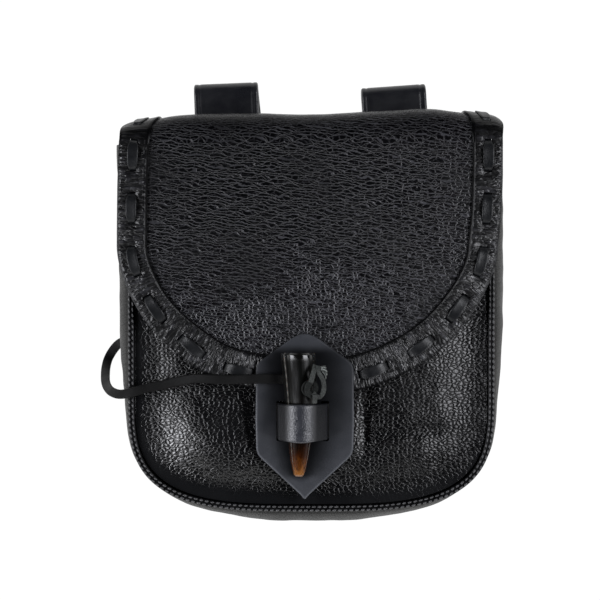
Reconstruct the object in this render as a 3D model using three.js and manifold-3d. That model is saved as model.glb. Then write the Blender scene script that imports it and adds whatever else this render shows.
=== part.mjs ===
import * as THREE from "three";
import Module from "manifold-3d";
import { mergeVertices } from "three/addons/utils/BufferGeometryUtils.js";

// A black leather belt pouch, closed with a horn toggle, that lies on its back.
// Millimetres. +Z points out of its front, +Y towards its belt loops and +X to the right
// of someone who faces it. Z = 0 is the surface that it lies on.

// ---------------------------------------------------------------- driving dimensions

const clearance = 0.3; // between two pieces that touch

// Leather thicknesses
const bodyLeather = 1.8; // back, flap and front panel
const gussetLeather = 1.6;
const bandLeather = 1.2;
const laceLeather = 1;
const patchLeather = 2;
const loopLeather = 2;
const strapLeather = 2.4;

// The body: its outline is the same at the back and the front seam
const halfWidth = 81.3;
const cornerStart = -40; // y where the straight sides turn into the round bottom
const cornerDepth = 53.3; // from there to the lowest point of the seam
const cornerPower = 3.4; // how square the bottom corners are
const mouth = 66; // y of the front panel's upper edge
const gussetTop = 70; // y of the gusset's two ends
const backLift = 11.1; // z of the back above the belt loops
const backLevelFrom = 14; // y from which the back is level; it sinks to the floor below
const backLowest = 0.4; // z of the back at the bottom
const backEase = 1.3;

// The raised front seam
const weltWidth = 3;
const weltLow = 42.6;
const weltHigh = 46;

// The front panel
const panelEdge = 43.4; // z of its face beside the seam
const panelRise = 6.6; // how far its face stands above that in the middle
const panelRiseOver = 10; // distance from the seam over which it rises
const panelReach = 60;
const panelAtMouth = 0.4; // part of its rise that is left at the mouth
// Soft dents and swells of its face: centre, half-widths and height
const panelDents = [
  { x: -58, y: -56, wide: 16, tall: 20, lift: 1.8 },
  { x: -36, y: -54, wide: 9, tall: 11, lift: -2.2 },
  { x: -26, y: -76, wide: 9, tall: 5, lift: 0.9 },
  { x: 24, y: -56, wide: 3, tall: 15, lift: -1.8 },
  { x: 52, y: -57, wide: 22, tall: 3.5, lift: -1.5 },
  { x: 50, y: -72, wide: 18, tall: 8, lift: 1 },
];

// The gusset swells out between its two seams, least at the bottom corners
const gussetSwell = {
  corner: 0.7, side: 4.4, sideLow: 1.4, bottom: 5.3, bottomSide: 3.3, focus: 8, round: 0.7,
};

// The flap is one leather with the back and folds over the top
const foldStart = 70; // y where the fold begins, in front and behind
const flapEdgeHeight = 47.4; // z of the flap's inner side at its side edges
const flapDome = { rise: 5.2, halfWidth: 86, power: 2.4, fullBelow: 20, leftAtFold: 0.25 };
// The top of the fold across the pouch
const foldTop = [
  { x: -86, y: 76.2 },
  { x: -80, y: 79 },
  { x: -72, y: 80.7 },
  { x: -62, y: 82.8 },
  { x: -50, y: 83.8 },
  { x: -23, y: 84 },
  { x: 0, y: 83.6 },
  { x: 35, y: 85.3 },
  { x: 53, y: 86 },
  { x: 65, y: 84.7 },
  { x: 74, y: 83.5 },
  { x: 81, y: 82 },
  { x: 86, y: 78.3 },
];
// Half-widths of the flap and back. A place on the leather is its y in front, and runs on
// over the fold and down the back by foldParts of the fold's length past foldStart.
const sidesInFront = [
  { y: 24, left: 85.2, right: 81.7 },
  { y: 38, left: 85.2, right: 83.2 },
  { y: 55, left: 85.1, right: 84 },
  { y: 70, left: 84.6, right: 84.2 },
];
const sidesOverFold = [
  { part: 0, left: 84.6, right: 84.2 },
  { part: 0.25, left: 83, right: 83.4 },
  { part: 0.5, left: 80, right: 80.8 },
  { part: 1, left: 81.3, right: 81.3 },
];
// The flap's round lower edge: a turn of 0 is its middle and 90 its side
const flapEdge = [
  { turn: 0, left: -40.5, right: -40.5 },
  { turn: 15, left: -38.8, right: -38.9 },
  { turn: 30, left: -33.6, right: -31.6 },
  { turn: 45, left: -21.7, right: -20.2 },
  { turn: 60, left: -7, right: -4.7 },
  { turn: 75, left: 10.2, right: 11 },
  { turn: 90, left: 25, right: 25 },
];

// The border band on the flap, and the lace woven through both
const bandWidth = { side: 13.2, bottom: 15.6 };
const bandReach = 0.72; // part of the fold that it covers before it ends behind
const foldSlack = 0.35; // how much farther the band stands off the flap over the fold
const laceWidth = 4.6;
const laceInset = 6.4; // from the flap's edge to the middle of the lace
const stitchLength = 12.8;
const stitchPitch = 23.3;
const firstStitch = { left: 31.7, right: 27.7 }; // from the lace's lowest point
const stitchesPerSide = 7;
const stitchBow = 0.5;
const laceTurn = 0.7; // the short slant where the lace turns into a slot
const slotLength = 2.2;
const slotWidth = 5.4;

// The closure: a six-sided patch sewn to the flap, the loop that stands through its slits,
// and the horn toggle
const patchMiddle = -2.9;
const patchBend = -40; // y below which the patch slopes towards the panel
const patchSlope = 0.164;
const patchOutline = [
  { y: -14.2, half: 1.2 },
  { y: -14.9, half: 3.4 },
  { y: -16.6, half: 6.4 },
  { y: -25.8, half: 19 },
  { y: -27.2, half: 20.6 },
  { y: -29.4, half: 21.3 },
  { y: -40, half: 21.4 },
  { y: -52, half: 21.6 },
  { y: -65, half: 21.3 },
  { y: -67.4, half: 20.6 },
  { y: -69.4, half: 18.8 },
  { y: -85, half: 2.8 },
  { y: -86.4, half: 1.5 },
  { y: -87, half: 0.6 },
];
const slitSpan = 19.8; // between the two slits' middles
const slitWidth = 3.2;
const slitLength = 17.6;
const loopMiddle = { x: -3.8, y: -52.4 };
const loopWidth = 16;
const loopSpan = 19.6; // between the middles of its two legs
const loopFoot = 7;
const loopTop = 70.5; // z of the middle of the leather over the toggle
const loopTilt = 0.24; // it leans with the taper of the toggle
// Sections of the horn toggle: place of its axis and half its width
const toggleSections = [
  { y: -22.3, x: -5.2, z: 65.5, half: 6.5 },
  { y: -23.2, x: -5.2, z: 65.6, half: 7.1 },
  { y: -31, x: -4.6, z: 65.3, half: 6.8 },
  { y: -43, x: -4.1, z: 64.9, half: 6.3 },
  { y: -52, x: -4.2, z: 63.3, half: 5.5 },
  { y: -62.5, x: -4.7, z: 61.2, half: 4.4 },
  { y: -69, x: -5, z: 59.9, half: 3.5 },
  { y: -73.3, x: -5.2, z: 58.9, half: 2.6 },
  { y: -75.7, x: -5.3, z: 58.3, half: 2 },
  { y: -76.4, x: -5.3, z: 58.1, half: 1.4 },
];
const toggleSides = 14;

// The thong: through a slanting hole in the toggle, out over the flap and the left edge,
// down to the surface that the pouch lies on, and up through a hole in the gusset
const thongAcross = 3.6;
const thongHole = { y: -34, x: -4.5, z: 65.2, radius: 2.6, slant: 40 };
const thongRoute = [
  [0.5, -34, 69.4],
  [-4.5, -34, 65.2],
  [-8.7, -34, 61.7],
  [-13.5, -33.9, 60.4],
  [-20, -33.7, 60.4],
  [-27, -33.9, 59.9],
  [-35, -34.2, 58.2],
  [-43, -34, 57.1],
  [-51, -33.9, 54.9],
  [-58, -35.2, 52.2],
  [-65, -36.8, 50.5],
  [-72, -38.2, 49.6],
  [-79, -40.2, 48.8],
  [-84.6, -41.2, 45.6],
  [-88.7, -40.4, 39.5],
  [-91.3, -38.8, 32],
  [-93, -36.6, 24],
  [-94, -33.8, 15],
  [-94.4, -30.4, 7.5],
  [-93.8, -26.8, 3.4],
  [-92, -23.4, 3],
  [-89.6, -20.6, 5.6],
  [-87.2, -19, 10],
  [-84.4, -18.6, 13.4],
  [-80.2, -18.6, 14.4],
];
const thongSteps = 76;
const gussetHole = { y: -18.6, z: 14.2, radius: 2.6 };
const stopKnot = { x: -77.4, half: 2.2, wide: 3.3 };
const knotSize = { along: 7.2, across: 4.8, thick: 2.6, slant: 52 };

// The belt loops: a strap folded double above the top, both ends sewn to the back
const beltGap = 6; // space for the belt between its two layers
const beltLoops = [
  { name: "belt_loop_left", middle: -38.9, width: 29.5, top: 100.5, lean: 0.4 },
  { name: "belt_loop_right", middle: 38, width: 29.7, top: 99.2, lean: 1 },
];
const strapFoot = 16; // y of the sewn ends
const strapSeam = 30; // y above which the two layers part
const strapParted = 46; // y from which the rear layer lies on the floor

// ---------------------------------------------------------------- shared functions

const { clamp, degToRad, lerp, smoothstep } = THREE.MathUtils;
const point = (x, y, z) => new THREE.Vector3(x, y, z);

// Value of a column at a place between a table's rows, on a smooth curve through them
function readTable(rows, key, place, column) {
  let row = 0;
  while (row < rows.length - 2 && place > rows[row + 1][key]) row += 1;
  const slopeAt = (index) => {
    const before = rows[Math.max(index - 1, 0)];
    const after = rows[Math.min(index + 1, rows.length - 1)];
    return (after[column] - before[column]) / (after[key] - before[key]);
  };
  const low = rows[row];
  const high = rows[row + 1];
  const span = high[key] - low[key];
  const t = clamp((place - low[key]) / span, 0, 1);
  const rise = (t * t * t - 2 * t * t + t) * span * slopeAt(row);
  const fall = (t * t * t - t * t) * span * slopeAt(row + 1);
  return lerp(low[column], high[column], t * t * (3 - 2 * t)) + rise + fall;
}

// A closed mesh whose faces point out, from its corners and its triangles or quads
function closedMesh(corners, faces) {
  const triangles = [];
  for (const face of faces) {
    for (let corner = 2; corner < face.length; corner += 1) {
      triangles.push(face[0], face[corner - 1], face[corner]);
    }
  }
  let volume = 0;
  for (let i = 0; i < triangles.length; i += 3) {
    const [a, b, c] = [0, 1, 2].map((step) => corners[triangles[i + step]]);
    volume += a.dot(b.clone().cross(c));
  }
  if (volume < 0) triangles.reverse();
  const geometry = new THREE.BufferGeometry();
  geometry.setFromPoints(corners);
  geometry.setIndex(triangles);
  return geometry;
}

// A sheet of leather over a grid of places, each with the side of the leather that lies
// lowest and the direction in which it gets its thickness
function leatherSheet(grid, thickness) {
  const rows = grid.length;
  const columns = grid[0].length;
  const flat = grid.flat();
  const upper = flat.map((place) => place.at.clone().addScaledVector(place.up, thickness));
  const corners = [...flat.map((place) => place.at), ...upper];
  const at = (row, column, layer) => layer * rows * columns + row * columns + column;
  const faces = [];
  for (let row = 1; row < rows; row += 1) {
    for (let column = 1; column < columns; column += 1) {
      const quad = [[row - 1, column - 1], [row, column - 1], [row, column], [row - 1, column]];
      faces.push(quad.map(([r, c]) => at(r, c, 0)));
      faces.push(quad.map(([r, c]) => at(r, c, 1)).reverse());
    }
  }
  const wall = (r0, c0, r1, c1) =>
    faces.push([at(r0, c0, 0), at(r1, c1, 0), at(r1, c1, 1), at(r0, c0, 1)]);
  for (let column = 1; column < columns; column += 1) {
    wall(0, column - 1, 0, column);
    wall(rows - 1, column, rows - 1, column - 1);
  }
  for (let row = 1; row < rows; row += 1) {
    wall(row, 0, row - 1, 0);
    wall(row - 1, columns - 1, row, columns - 1);
  }
  return closedMesh(corners, faces);
}

// A section carried through frames, each with its middle, two directions and a size
function sweep(frames, section) {
  const corners = frames.flatMap(({ at, side, up, size = 1 }) =>
    section.map(([a, b]) =>
      at.clone().addScaledVector(side, a * size).addScaledVector(up, b * size)));
  const sides = section.length;
  const faces = [];
  for (let frame = 1; frame < frames.length; frame += 1) {
    for (let corner = 0; corner < sides; corner += 1) {
      const next = (corner + 1) % sides;
      const low = (frame - 1) * sides;
      faces.push([low + corner, low + next, low + sides + next, low + sides + corner]);
    }
  }
  const cap = Array.from({ length: sides }, (_, corner) => corner);
  faces.push([...cap].reverse());
  faces.push(cap.map((corner) => (frames.length - 1) * sides + corner));
  return closedMesh(corners, faces);
}

const rectangle = (wide, tall) => [
  [-wide / 2, -tall / 2],
  [wide / 2, -tall / 2],
  [wide / 2, tall / 2],
  [-wide / 2, tall / 2],
];

const roundSection = (sides, radius) =>
  Array.from({ length: sides }, (_, corner) => {
    const angle = (corner + 0.5) * 2 * Math.PI / sides;
    return [radius * Math.cos(angle), radius * Math.sin(angle)];
  });

// A strap along a path, with the direction of its width at each point of the path
function strap(path, width, thickness) {
  const frames = path.map(({ at, side }, index) => {
    const before = path[Math.max(index - 1, 0)].at;
    const after = path[Math.min(index + 1, path.length - 1)].at;
    const along = after.clone().sub(before).normalize();
    return { at, side, up: along.cross(side).normalize() };
  });
  return sweep(frames, rectangle(width, thickness));
}

const library = await Module();
library.setup();

function toSolid(geometry) {
  const bare = geometry.clone();
  bare.deleteAttribute("normal");
  bare.deleteAttribute("uv");
  const merged = mergeVertices(bare, 1e-4);
  return new library.Manifold(new library.Mesh({
    numProp: 3,
    vertProperties: new Float32Array(merged.attributes.position.array),
    triVerts: new Uint32Array(merged.index.array),
  }));
}

function toGeometry(solid) {
  const mesh = solid.getMesh();
  const geometry = new THREE.BufferGeometry();
  geometry.setAttribute("position", new THREE.BufferAttribute(mesh.vertProperties, 3));
  geometry.setIndex(new THREE.BufferAttribute(mesh.triVerts, 1));
  return geometry;
}

function cutAway(geometry, tools) {
  return toGeometry(tools.reduce((solid, tool) => solid.subtract(toSolid(tool)), toSolid(geometry)));
}

// ---------------------------------------------------------------- the body's surfaces

// The seam's lowest y at a part of the half-width, 0 in the middle and 1 at the side
const seamBottom = (part, inset = 0) =>
  cornerStart - (cornerDepth - inset) * (1 - Math.abs(part) ** cornerPower) ** (1 / cornerPower);

// z of the back's rear face
function backRear(y) {
  const down = clamp((backLevelFrom - y) / (backLevelFrom - seamBottom(0)), 0, 1);
  return lerp(backLift, backLowest, down ** backEase);
}

// z of the flap's inner side in front
function flapInner(x, y) {
  const { rise, halfWidth: reach, power, fullBelow, leftAtFold } = flapDome;
  const left = lerp(1, leftAtFold, smoothstep(y, fullBelow, foldStart));
  return flapEdgeHeight + rise * left * (1 - Math.min(Math.abs(x) / reach, 1) ** power);
}

// z of the front panel's face
function panelFace(x, y) {
  const across = Math.abs(x) / (halfWidth - weltWidth);
  const down = Math.max(cornerStart - y, 0) / (cornerDepth - weltWidth);
  const out = Math.min((across ** cornerPower + down ** cornerPower) ** (1 / cornerPower), 1);
  const inside = 1 - Math.exp(-(1 - out) * panelReach / panelRiseOver);
  const left = lerp(1, panelAtMouth, smoothstep(y, mouth - 50, mouth));
  const dents = panelDents.reduce((sum, dent) =>
    sum + dent.lift * Math.exp(-(((x - dent.x) / dent.wide) ** 2) - ((y - dent.y) / dent.tall) ** 2), 0);
  return panelEdge + (panelRise * left + dents) * inside;
}

// Length of leather over the fold, from the front's start of it to the back's
const foldHeight = (flapEdgeHeight - backLift - bodyLeather) / 2;
const foldReach = readTable(foldTop, "x", 0, "y") - foldStart;
const foldLength = Math.PI * Math.hypot(foldReach, foldHeight) / Math.SQRT2;

// The leather's inner side at a distance across and a place along
function leatherInner(x, place) {
  if (place <= foldStart) return point(x, place, flapInner(x, place));
  if (place >= foldStart + foldLength) {
    const y = 2 * foldStart + foldLength - place;
    return point(x, y, backRear(y) + bodyLeather);
  }
  const angle = Math.PI * (place - foldStart) / foldLength;
  const front = flapInner(x, foldStart);
  const back = backRear(foldStart) + bodyLeather;
  const top = readTable(foldTop, "x", x, "y") - bodyLeather;
  return point(
    x,
    foldStart + (top - foldStart) * Math.sin(angle),
    (front + back) / 2 + (front - back) / 2 * Math.cos(angle),
  );
}

function leatherNormal(x, place) {
  const step = 0.5;
  const across = leatherInner(x + step, place).sub(leatherInner(x - step, place));
  const along = leatherInner(x, place + step).sub(leatherInner(x, place - step));
  return across.cross(along).normalize();
}

// A point at a height over the leather's inner side
const onLeather = (x, place, height) =>
  leatherInner(x, place).addScaledVector(leatherNormal(x, place), height);

function sideAt(place, column) {
  if (place <= foldStart) return readTable(sidesInFront, "y", place, column);
  return readTable(sidesOverFold, "part", (place - foldStart) / foldLength, column);
}

const acrossAt = (place, part) => part * sideAt(place, part < 0 ? "left" : "right");

const flapEdgeAt = (turn) =>
  readTable(flapEdge, "turn", Math.abs(turn), turn < 0 ? "left" : "right");

// ---------------------------------------------------------------- lines along the edges

// Points at even distances along a line, each with its tangent and its distance along
function evenly(line, count) {
  const lengths = [0];
  for (let i = 1; i < line.length; i += 1) {
    lengths.push(lengths[i - 1] + line[i].distanceTo(line[i - 1]));
  }
  const whole = lengths[lengths.length - 1];
  return Array.from({ length: count }, (_, index) => {
    const along = whole * index / (count - 1);
    let i = 1;
    while (i < line.length - 1 && lengths[i] < along) i += 1;
    const t = (along - lengths[i - 1]) / (lengths[i] - lengths[i - 1]);
    const tangent = line[i].clone().sub(line[i - 1]).normalize();
    return { at: line[i - 1].clone().lerp(line[i], t), tangent, along };
  });
}

// The same line moved towards the inside of its U, by an inset for each point of it
function moveInside(stations, insetAt) {
  return stations.map(({ at, tangent }, index) => {
    const before = stations[Math.max(index - 1, 0)].tangent;
    const after = stations[Math.min(index + 1, stations.length - 1)].tangent;
    const smoothTangent = tangent.clone().add(before).add(after).normalize();
    const inward = new THREE.Vector2(-smoothTangent.y, smoothTangent.x);
    return { at: at.clone().addScaledVector(inward, insetAt(at)), inward };
  });
}

// The body's seam, from the left end of the mouth round the bottom to the right end
function seamLine(count, topY) {
  const dense = 200;
  const line = [new THREE.Vector2(-halfWidth, topY)];
  for (let i = 0; i <= dense; i += 1) {
    const part = Math.sin(Math.PI * (i / dense - 0.5));
    line.push(new THREE.Vector2(part * halfWidth, seamBottom(part)));
  }
  line.push(new THREE.Vector2(halfWidth, topY));
  return evenly(line, count);
}

// The flap's edge in distances across and places along, from behind the fold on the left
function flapEdgeLine(count) {
  const dense = 60;
  const line = [];
  const edgeTop = foldStart + bandReach * foldLength;
  const sideStart = flapEdgeAt(90);
  for (let i = 0; i < dense; i += 1) {
    const place = lerp(edgeTop, sideStart, i / dense);
    line.push(new THREE.Vector2(acrossAt(place, -1), place));
  }
  for (let i = 0; i <= dense; i += 1) {
    const turn = lerp(-90, 90, i / dense);
    const place = flapEdgeAt(turn);
    line.push(new THREE.Vector2(acrossAt(place, Math.sin(degToRad(turn))), place));
  }
  for (let i = 1; i <= dense; i += 1) {
    const place = lerp(sideStart, edgeTop, i / dense);
    line.push(new THREE.Vector2(acrossAt(place, 1), place));
  }
  return evenly(line, count);
}

// ---------------------------------------------------------------- the lace and its slots

const bandOuter = bodyLeather + clearance + bandLeather; // height of the band's outer side
const slackAt = (place) => foldSlack * smoothstep(place, foldStart - 10, foldStart + 4);
const laceAbove = bandOuter + clearance + laceLeather / 2;
const laceBelow = -clearance - laceLeather / 2;

const laceLine = evenly(
  moveInside(flapEdgeLine(400), () => laceInset).map((station) => station.at), 500);
const laceLowest = laceLine.reduce((best, station) =>
  station.at.y < best.at.y ? station : best).along;

// A place on the lace's line, at a distance from its lowest point
function onLaceLine(distance) {
  const step = laceLine[1].along;
  const index = clamp((laceLowest + distance) / step, 0, laceLine.length - 1.001);
  const low = laceLine[Math.floor(index)];
  const high = laceLine[Math.floor(index) + 1];
  const at = low.at.clone().lerp(high.at, index % 1);
  const across = new THREE.Vector2(-low.tangent.y, low.tangent.x);
  return { at, across, tangent: low.tangent };
}

function laceFrame(distance, level) {
  const { at, across } = onLaceLine(distance);
  const height = level > 0 ? level + slackAt(at.y) : level;
  const inner = onLeather(at.x + across.x, at.y + across.y, height);
  const outer = onLeather(at.x - across.x, at.y - across.y, height);
  return { at: onLeather(at.x, at.y, height), side: inner.sub(outer).normalize() };
}

const stitchMiddles = [];
for (let stitch = 0; stitch < stitchesPerSide; stitch += 1) {
  stitchMiddles.push(firstStitch.right + stitch * stitchPitch);
  stitchMiddles.unshift(-firstStitch.left - stitch * stitchPitch);
}

function makeLace() {
  const half = stitchLength / 2;
  const path = [];
  for (const middle of stitchMiddles) {
    const inSlot = [
      [-half - laceTurn, laceBelow],
      [-half, laceBelow + laceTurn],
      [-half, laceAbove - laceTurn],
      [-half + laceTurn, laceAbove],
    ];
    const over = [-0.3, 0.3].map((part) => [part * stitchLength, laceAbove + stitchBow]);
    const outSlot = inSlot.map(([along, height]) => [-along, height]).reverse();
    for (const [along, height] of [...inSlot, ...over, ...outSlot]) {
      path.push(laceFrame(middle + along, height));
    }
  }
  return strap(path, laceWidth, laceLeather);
}

function slotTools() {
  return stitchMiddles.flatMap((middle) => [-1, 1].map((end) => {
    const distance = middle + end * stitchLength / 2;
    const frames = [laceBelow - 1, laceAbove + 1].map((height) => {
      const { at, side } = laceFrame(distance, height);
      const up = leatherNormal(onLaceLine(distance).at.x, onLaceLine(distance).at.y).cross(side);
      return { at, side, up };
    });
    return sweep(frames, rectangle(slotWidth, slotLength));
  }));
}

// ---------------------------------------------------------------- body pieces

function makeBackAndFlap() {
  const columns = 24;
  const footRows = 4;
  const backRows = 2;
  const foldRows = 10;
  const frontRows = 8;
  const places = (part, turn) => {
    const foot = 2 * foldStart + foldLength - seamBottom(part);
    const rows = [];
    const level = 2 * foldStart + foldLength - backLevelFrom;
    for (let i = 0; i < footRows; i += 1) rows.push(lerp(foot, level, i / footRows));
    for (let i = 0; i < backRows; i += 1) {
      rows.push(lerp(level, foldStart + foldLength, i / backRows));
    }
    for (let i = 0; i < foldRows; i += 1) {
      rows.push(foldStart + foldLength * (1 - i / foldRows));
    }
    for (let i = 0; i <= frontRows; i += 1) {
      rows.push(lerp(foldStart, flapEdgeAt(turn), i / frontRows));
    }
    return rows;
  };
  const grid = Array.from({ length: columns + 1 }, (_, column) => {
    const turn = lerp(-90, 90, column / columns);
    const part = Math.sin(degToRad(turn));
    return places(part, turn).map((place) => {
      const x = acrossAt(place, part);
      return { at: leatherInner(x, place), up: leatherNormal(x, place) };
    });
  });
  return cutAway(leatherSheet(grid, bodyLeather), slotTools());
}

function makeFlapBand() {
  const rows = 2;
  const width = (at) => lerp(bandWidth.bottom, bandWidth.side, smoothstep(at.y, -40, 20));
  const stations = flapEdgeLine(66);
  const grid = [];
  for (let row = 0; row <= rows; row += 1) {
    const line = moveInside(stations, (at) => width(at) * row / rows);
    grid.push(line.map(({ at }) => ({
      at: onLeather(at.x, at.y, bodyLeather + clearance + slackAt(at.y)),
      up: leatherNormal(at.x, at.y),
    })));
  }
  return cutAway(leatherSheet(grid, bandLeather), slotTools());
}

function makeFrontPanel() {
  const columns = 22;
  const rows = 15;
  const inset = weltWidth + clearance;
  const grid = Array.from({ length: columns + 1 }, (_, column) => {
    const part = Math.sin(Math.PI * (column / columns - 0.5));
    return Array.from({ length: rows + 1 }, (_, row) => {
      const x = part * (halfWidth - inset);
      const y = lerp(mouth, seamBottom(part, inset), row / rows);
      return { at: point(x, y, panelFace(x, y)), up: point(0, 0, -1) };
    });
  });
  return leatherSheet(grid, bodyLeather);
}

function makeGusset() {
  const rows = 5;
  const stations = moveInside(seamLine(46, gussetTop), () => 0);
  const { corner, focus, round } = gussetSwell;
  const grid = stations.map(({ at, inward }) => {
    const side = lerp(gussetSwell.side, gussetSwell.sideLow, smoothstep(-at.y, 10, 58));
    const outward = smoothstep(Math.abs(at.x), 12, 45);
    const bottom = lerp(gussetSwell.bottom, gussetSwell.bottomSide, outward);
    const swell = corner + side * inward.x ** focus + bottom * inward.y ** focus;
    const low = backRear(at.y) + bodyLeather + clearance;
    const high = weltLow - clearance;
    return Array.from({ length: rows + 1 }, (_, row) => {
      const out = swell * Math.sin(Math.PI * row / rows) ** round;
      return {
        at: point(at.x - inward.x * out, at.y - inward.y * out, lerp(low, high, row / rows)),
        up: point(inward.x, inward.y, 0),
      };
    });
  });
  const hole = new THREE.CylinderGeometry(gussetHole.radius, gussetHole.radius, 14, 12);
  hole.rotateZ(Math.PI / 2);
  hole.translate(-halfWidth, gussetHole.y, gussetHole.z);
  return cutAway(leatherSheet(grid, gussetLeather), [hole]);
}

function makeFrontWelt() {
  const stations = moveInside(seamLine(46, mouth), () => weltWidth / 2);
  const middle = (weltLow + weltHigh) / 2;
  const frames = stations.map(({ at, inward }) => ({
    at: point(at.x, at.y, middle),
    side: point(inward.x, inward.y, 0),
    up: point(0, 0, 1),
  }));
  const w = weltWidth / 2;
  const h = (weltHigh - weltLow) / 2;
  const section = [[-w, -h], [w, -h], [w, 0.3 * h], [0.5 * w, h], [-0.5 * w, h], [-w, 0.3 * h]];
  return sweep(frames, section);
}

// ---------------------------------------------------------------- closure

const patchLevel = flapInner(patchMiddle, patchBend) + bandOuter + clearance;
const patchUnder = (y) => patchLevel - patchSlope * Math.max(patchBend - y, 0);

function makeClosurePatch() {
  const columns = 4;
  const grid = patchOutline.map(({ y, half }) =>
    Array.from({ length: columns + 1 }, (_, column) => ({
      at: point(patchMiddle + half * (2 * column / columns - 1), y, patchUnder(y)),
      up: point(0, 0, 1),
    })));
  const slits = [-1, 1].map((side) => {
    const slit = new THREE.BoxGeometry(slitWidth, slitLength, 12);
    slit.translate(loopMiddle.x + side * slitSpan / 2, loopMiddle.y, patchUnder(loopMiddle.y));
    return slit;
  });
  return cutAway(leatherSheet(grid, patchLeather), slits);
}

function makeClosureLoop() {
  const half = loopSpan / 2;
  const foot = (side) =>
    panelFace(loopMiddle.x + side * (half + loopFoot / 2), loopMiddle.y + loopWidth / 3);
  const footLevel = Math.max(foot(-1), foot(1)) + 2 * clearance + loopLeather / 2;
  const path = [[half + loopFoot, footLevel], [half + 1.6, footLevel], [half, footLevel + 1.6]];
  const shoulder = loopTop - half;
  const bends = 8;
  for (let i = 0; i <= bends; i += 1) {
    const angle = Math.PI / 2 * i / bends;
    path.push([half * Math.cos(angle), shoulder + half * Math.sin(angle)]);
  }
  const mirrored = path.slice(0, -1).map(([x, z]) => [-x, z]).reverse();
  const frames = [...path, ...mirrored].map(([x, z]) => {
    const tilt = loopTilt * smoothstep(z, shoulder, loopTop);
    return { at: point(loopMiddle.x + x, loopMiddle.y, z), side: point(0, 1, tilt).normalize() };
  });
  return strap(frames, loopWidth, loopLeather);
}

const slanting = (degrees) => point(Math.cos(degToRad(degrees)), 0, Math.sin(degToRad(degrees)));
const holeMiddle = point(thongHole.x, thongHole.y, thongHole.z);

function makeToggle() {
  const frames = toggleSections.map(({ x, y, z, half }) => ({
    at: point(x, y, z),
    side: point(1, 0, 0),
    up: point(0, 0, 1),
    size: half,
  }));
  const horn = sweep(frames, roundSection(toggleSides, 1));
  const hole = new THREE.CylinderGeometry(thongHole.radius, thongHole.radius, 30, 12);
  const axis = slanting(thongHole.slant);
  hole.applyQuaternion(new THREE.Quaternion().setFromUnitVectors(point(0, 1, 0), axis));
  hole.translate(holeMiddle.x, holeMiddle.y, holeMiddle.z);
  return cutAway(horn, [hole]);
}

function makeThong() {
  const route = new THREE.CatmullRomCurve3(thongRoute.map(([x, y, z]) => point(x, y, z)));
  const section = new THREE.Shape(
    roundSection(8, thongAcross / 2).map(([a, b]) => new THREE.Vector2(a, b)));
  const settings = { steps: thongSteps, bevelEnabled: false, extrudePath: route };
  return new THREE.ExtrudeGeometry(section, settings);
}

function makeStopKnot() {
  const knot = new THREE.SphereGeometry(1, 12, 8);
  knot.scale(stopKnot.half, stopKnot.wide, stopKnot.wide);
  knot.translate(stopKnot.x, gussetHole.y, gussetHole.z + 0.2);
  return knot;
}

function makeKnot() {
  const knot = new THREE.SphereGeometry(1, 16, 10);
  const away = slanting(knotSize.slant);
  knot.scale(knotSize.thick, knotSize.along, knotSize.across);
  knot.rotateY(-degToRad(knotSize.slant));
  away.multiplyScalar(toggleSections[2].half + knotSize.thick + clearance).add(holeMiddle);
  knot.translate(away.x, away.y, away.z);
  return knot;
}

// ---------------------------------------------------------------- belt loops

function makeBeltLoop({ middle, width, top, lean }) {
  const inner = backLift - clearance - strapLeather / 2;
  const rear = inner - beltGap - strapLeather;
  const together = inner - strapLeather - clearance;
  const radius = (inner - rear) / 2;
  const path = [[strapFoot, inner], [strapSeam, inner], [strapParted, inner]];
  const bends = 8;
  for (let i = 0; i <= bends; i += 1) {
    const angle = Math.PI * (0.5 - i / bends);
    const y = top - strapLeather / 2 - radius + radius * Math.cos(angle);
    path.push([y, (inner + rear) / 2 + radius * Math.sin(angle)]);
  }
  path.push([strapParted, rear], [lerp(strapParted, strapSeam, 0.4), lerp(rear, together, 0.2)]);
  path.push([strapSeam, together], [strapFoot, together]);
  const side = point(1, 0, 0);
  const frames = path.map(([y, z]) => {
    const shift = lean * (y - strapFoot) / (top - strapFoot);
    return { at: point(middle + shift, y, z), side };
  });
  return strap(frames, width, strapLeather);
}

// ---------------------------------------------------------------- the assembly

const blackLeather = (color, roughness) =>
  new THREE.MeshStandardMaterial({ color, roughness, metalness: 0 });

const pouch = new THREE.Group();

function add(name, geometry, material) {
  const mesh = new THREE.Mesh(geometry, material);
  mesh.name = name;
  pouch.add(mesh);
}

add("back_and_flap", makeBackAndFlap(), blackLeather(0x141416, 0.5));
add("flap_band", makeFlapBand(), blackLeather(0x18181a, 0.5));
add("flap_lace", makeLace(), blackLeather(0x1c1c1f, 0.6));
add("front_panel", makeFrontPanel(), blackLeather(0x141416, 0.4));
add("gusset", makeGusset(), blackLeather(0x1a1b1a, 0.5));
add("front_welt", makeFrontWelt(), blackLeather(0x17171a, 0.5));
add("closure_patch", makeClosurePatch(), blackLeather(0x2a2b30, 0.7));
add("closure_loop", makeClosureLoop(), blackLeather(0x2c2e34, 0.6));
add("toggle", makeToggle(), new THREE.MeshStandardMaterial({ color: 0x1c130d, roughness: 0.15 }));
add("toggle_thong", makeThong(), blackLeather(0x16171a, 0.6));
add("thong_knot", makeKnot(), blackLeather(0x16171a, 0.6));
add("thong_stop_knot", makeStopKnot(), blackLeather(0x16171a, 0.6));
for (const loop of beltLoops) {
  add(loop.name, makeBeltLoop(loop), blackLeather(0x1d1e21, 0.55));
}

export default pouch;
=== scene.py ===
import bmesh
import bpy
import numpy as np
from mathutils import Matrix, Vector, noise


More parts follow.
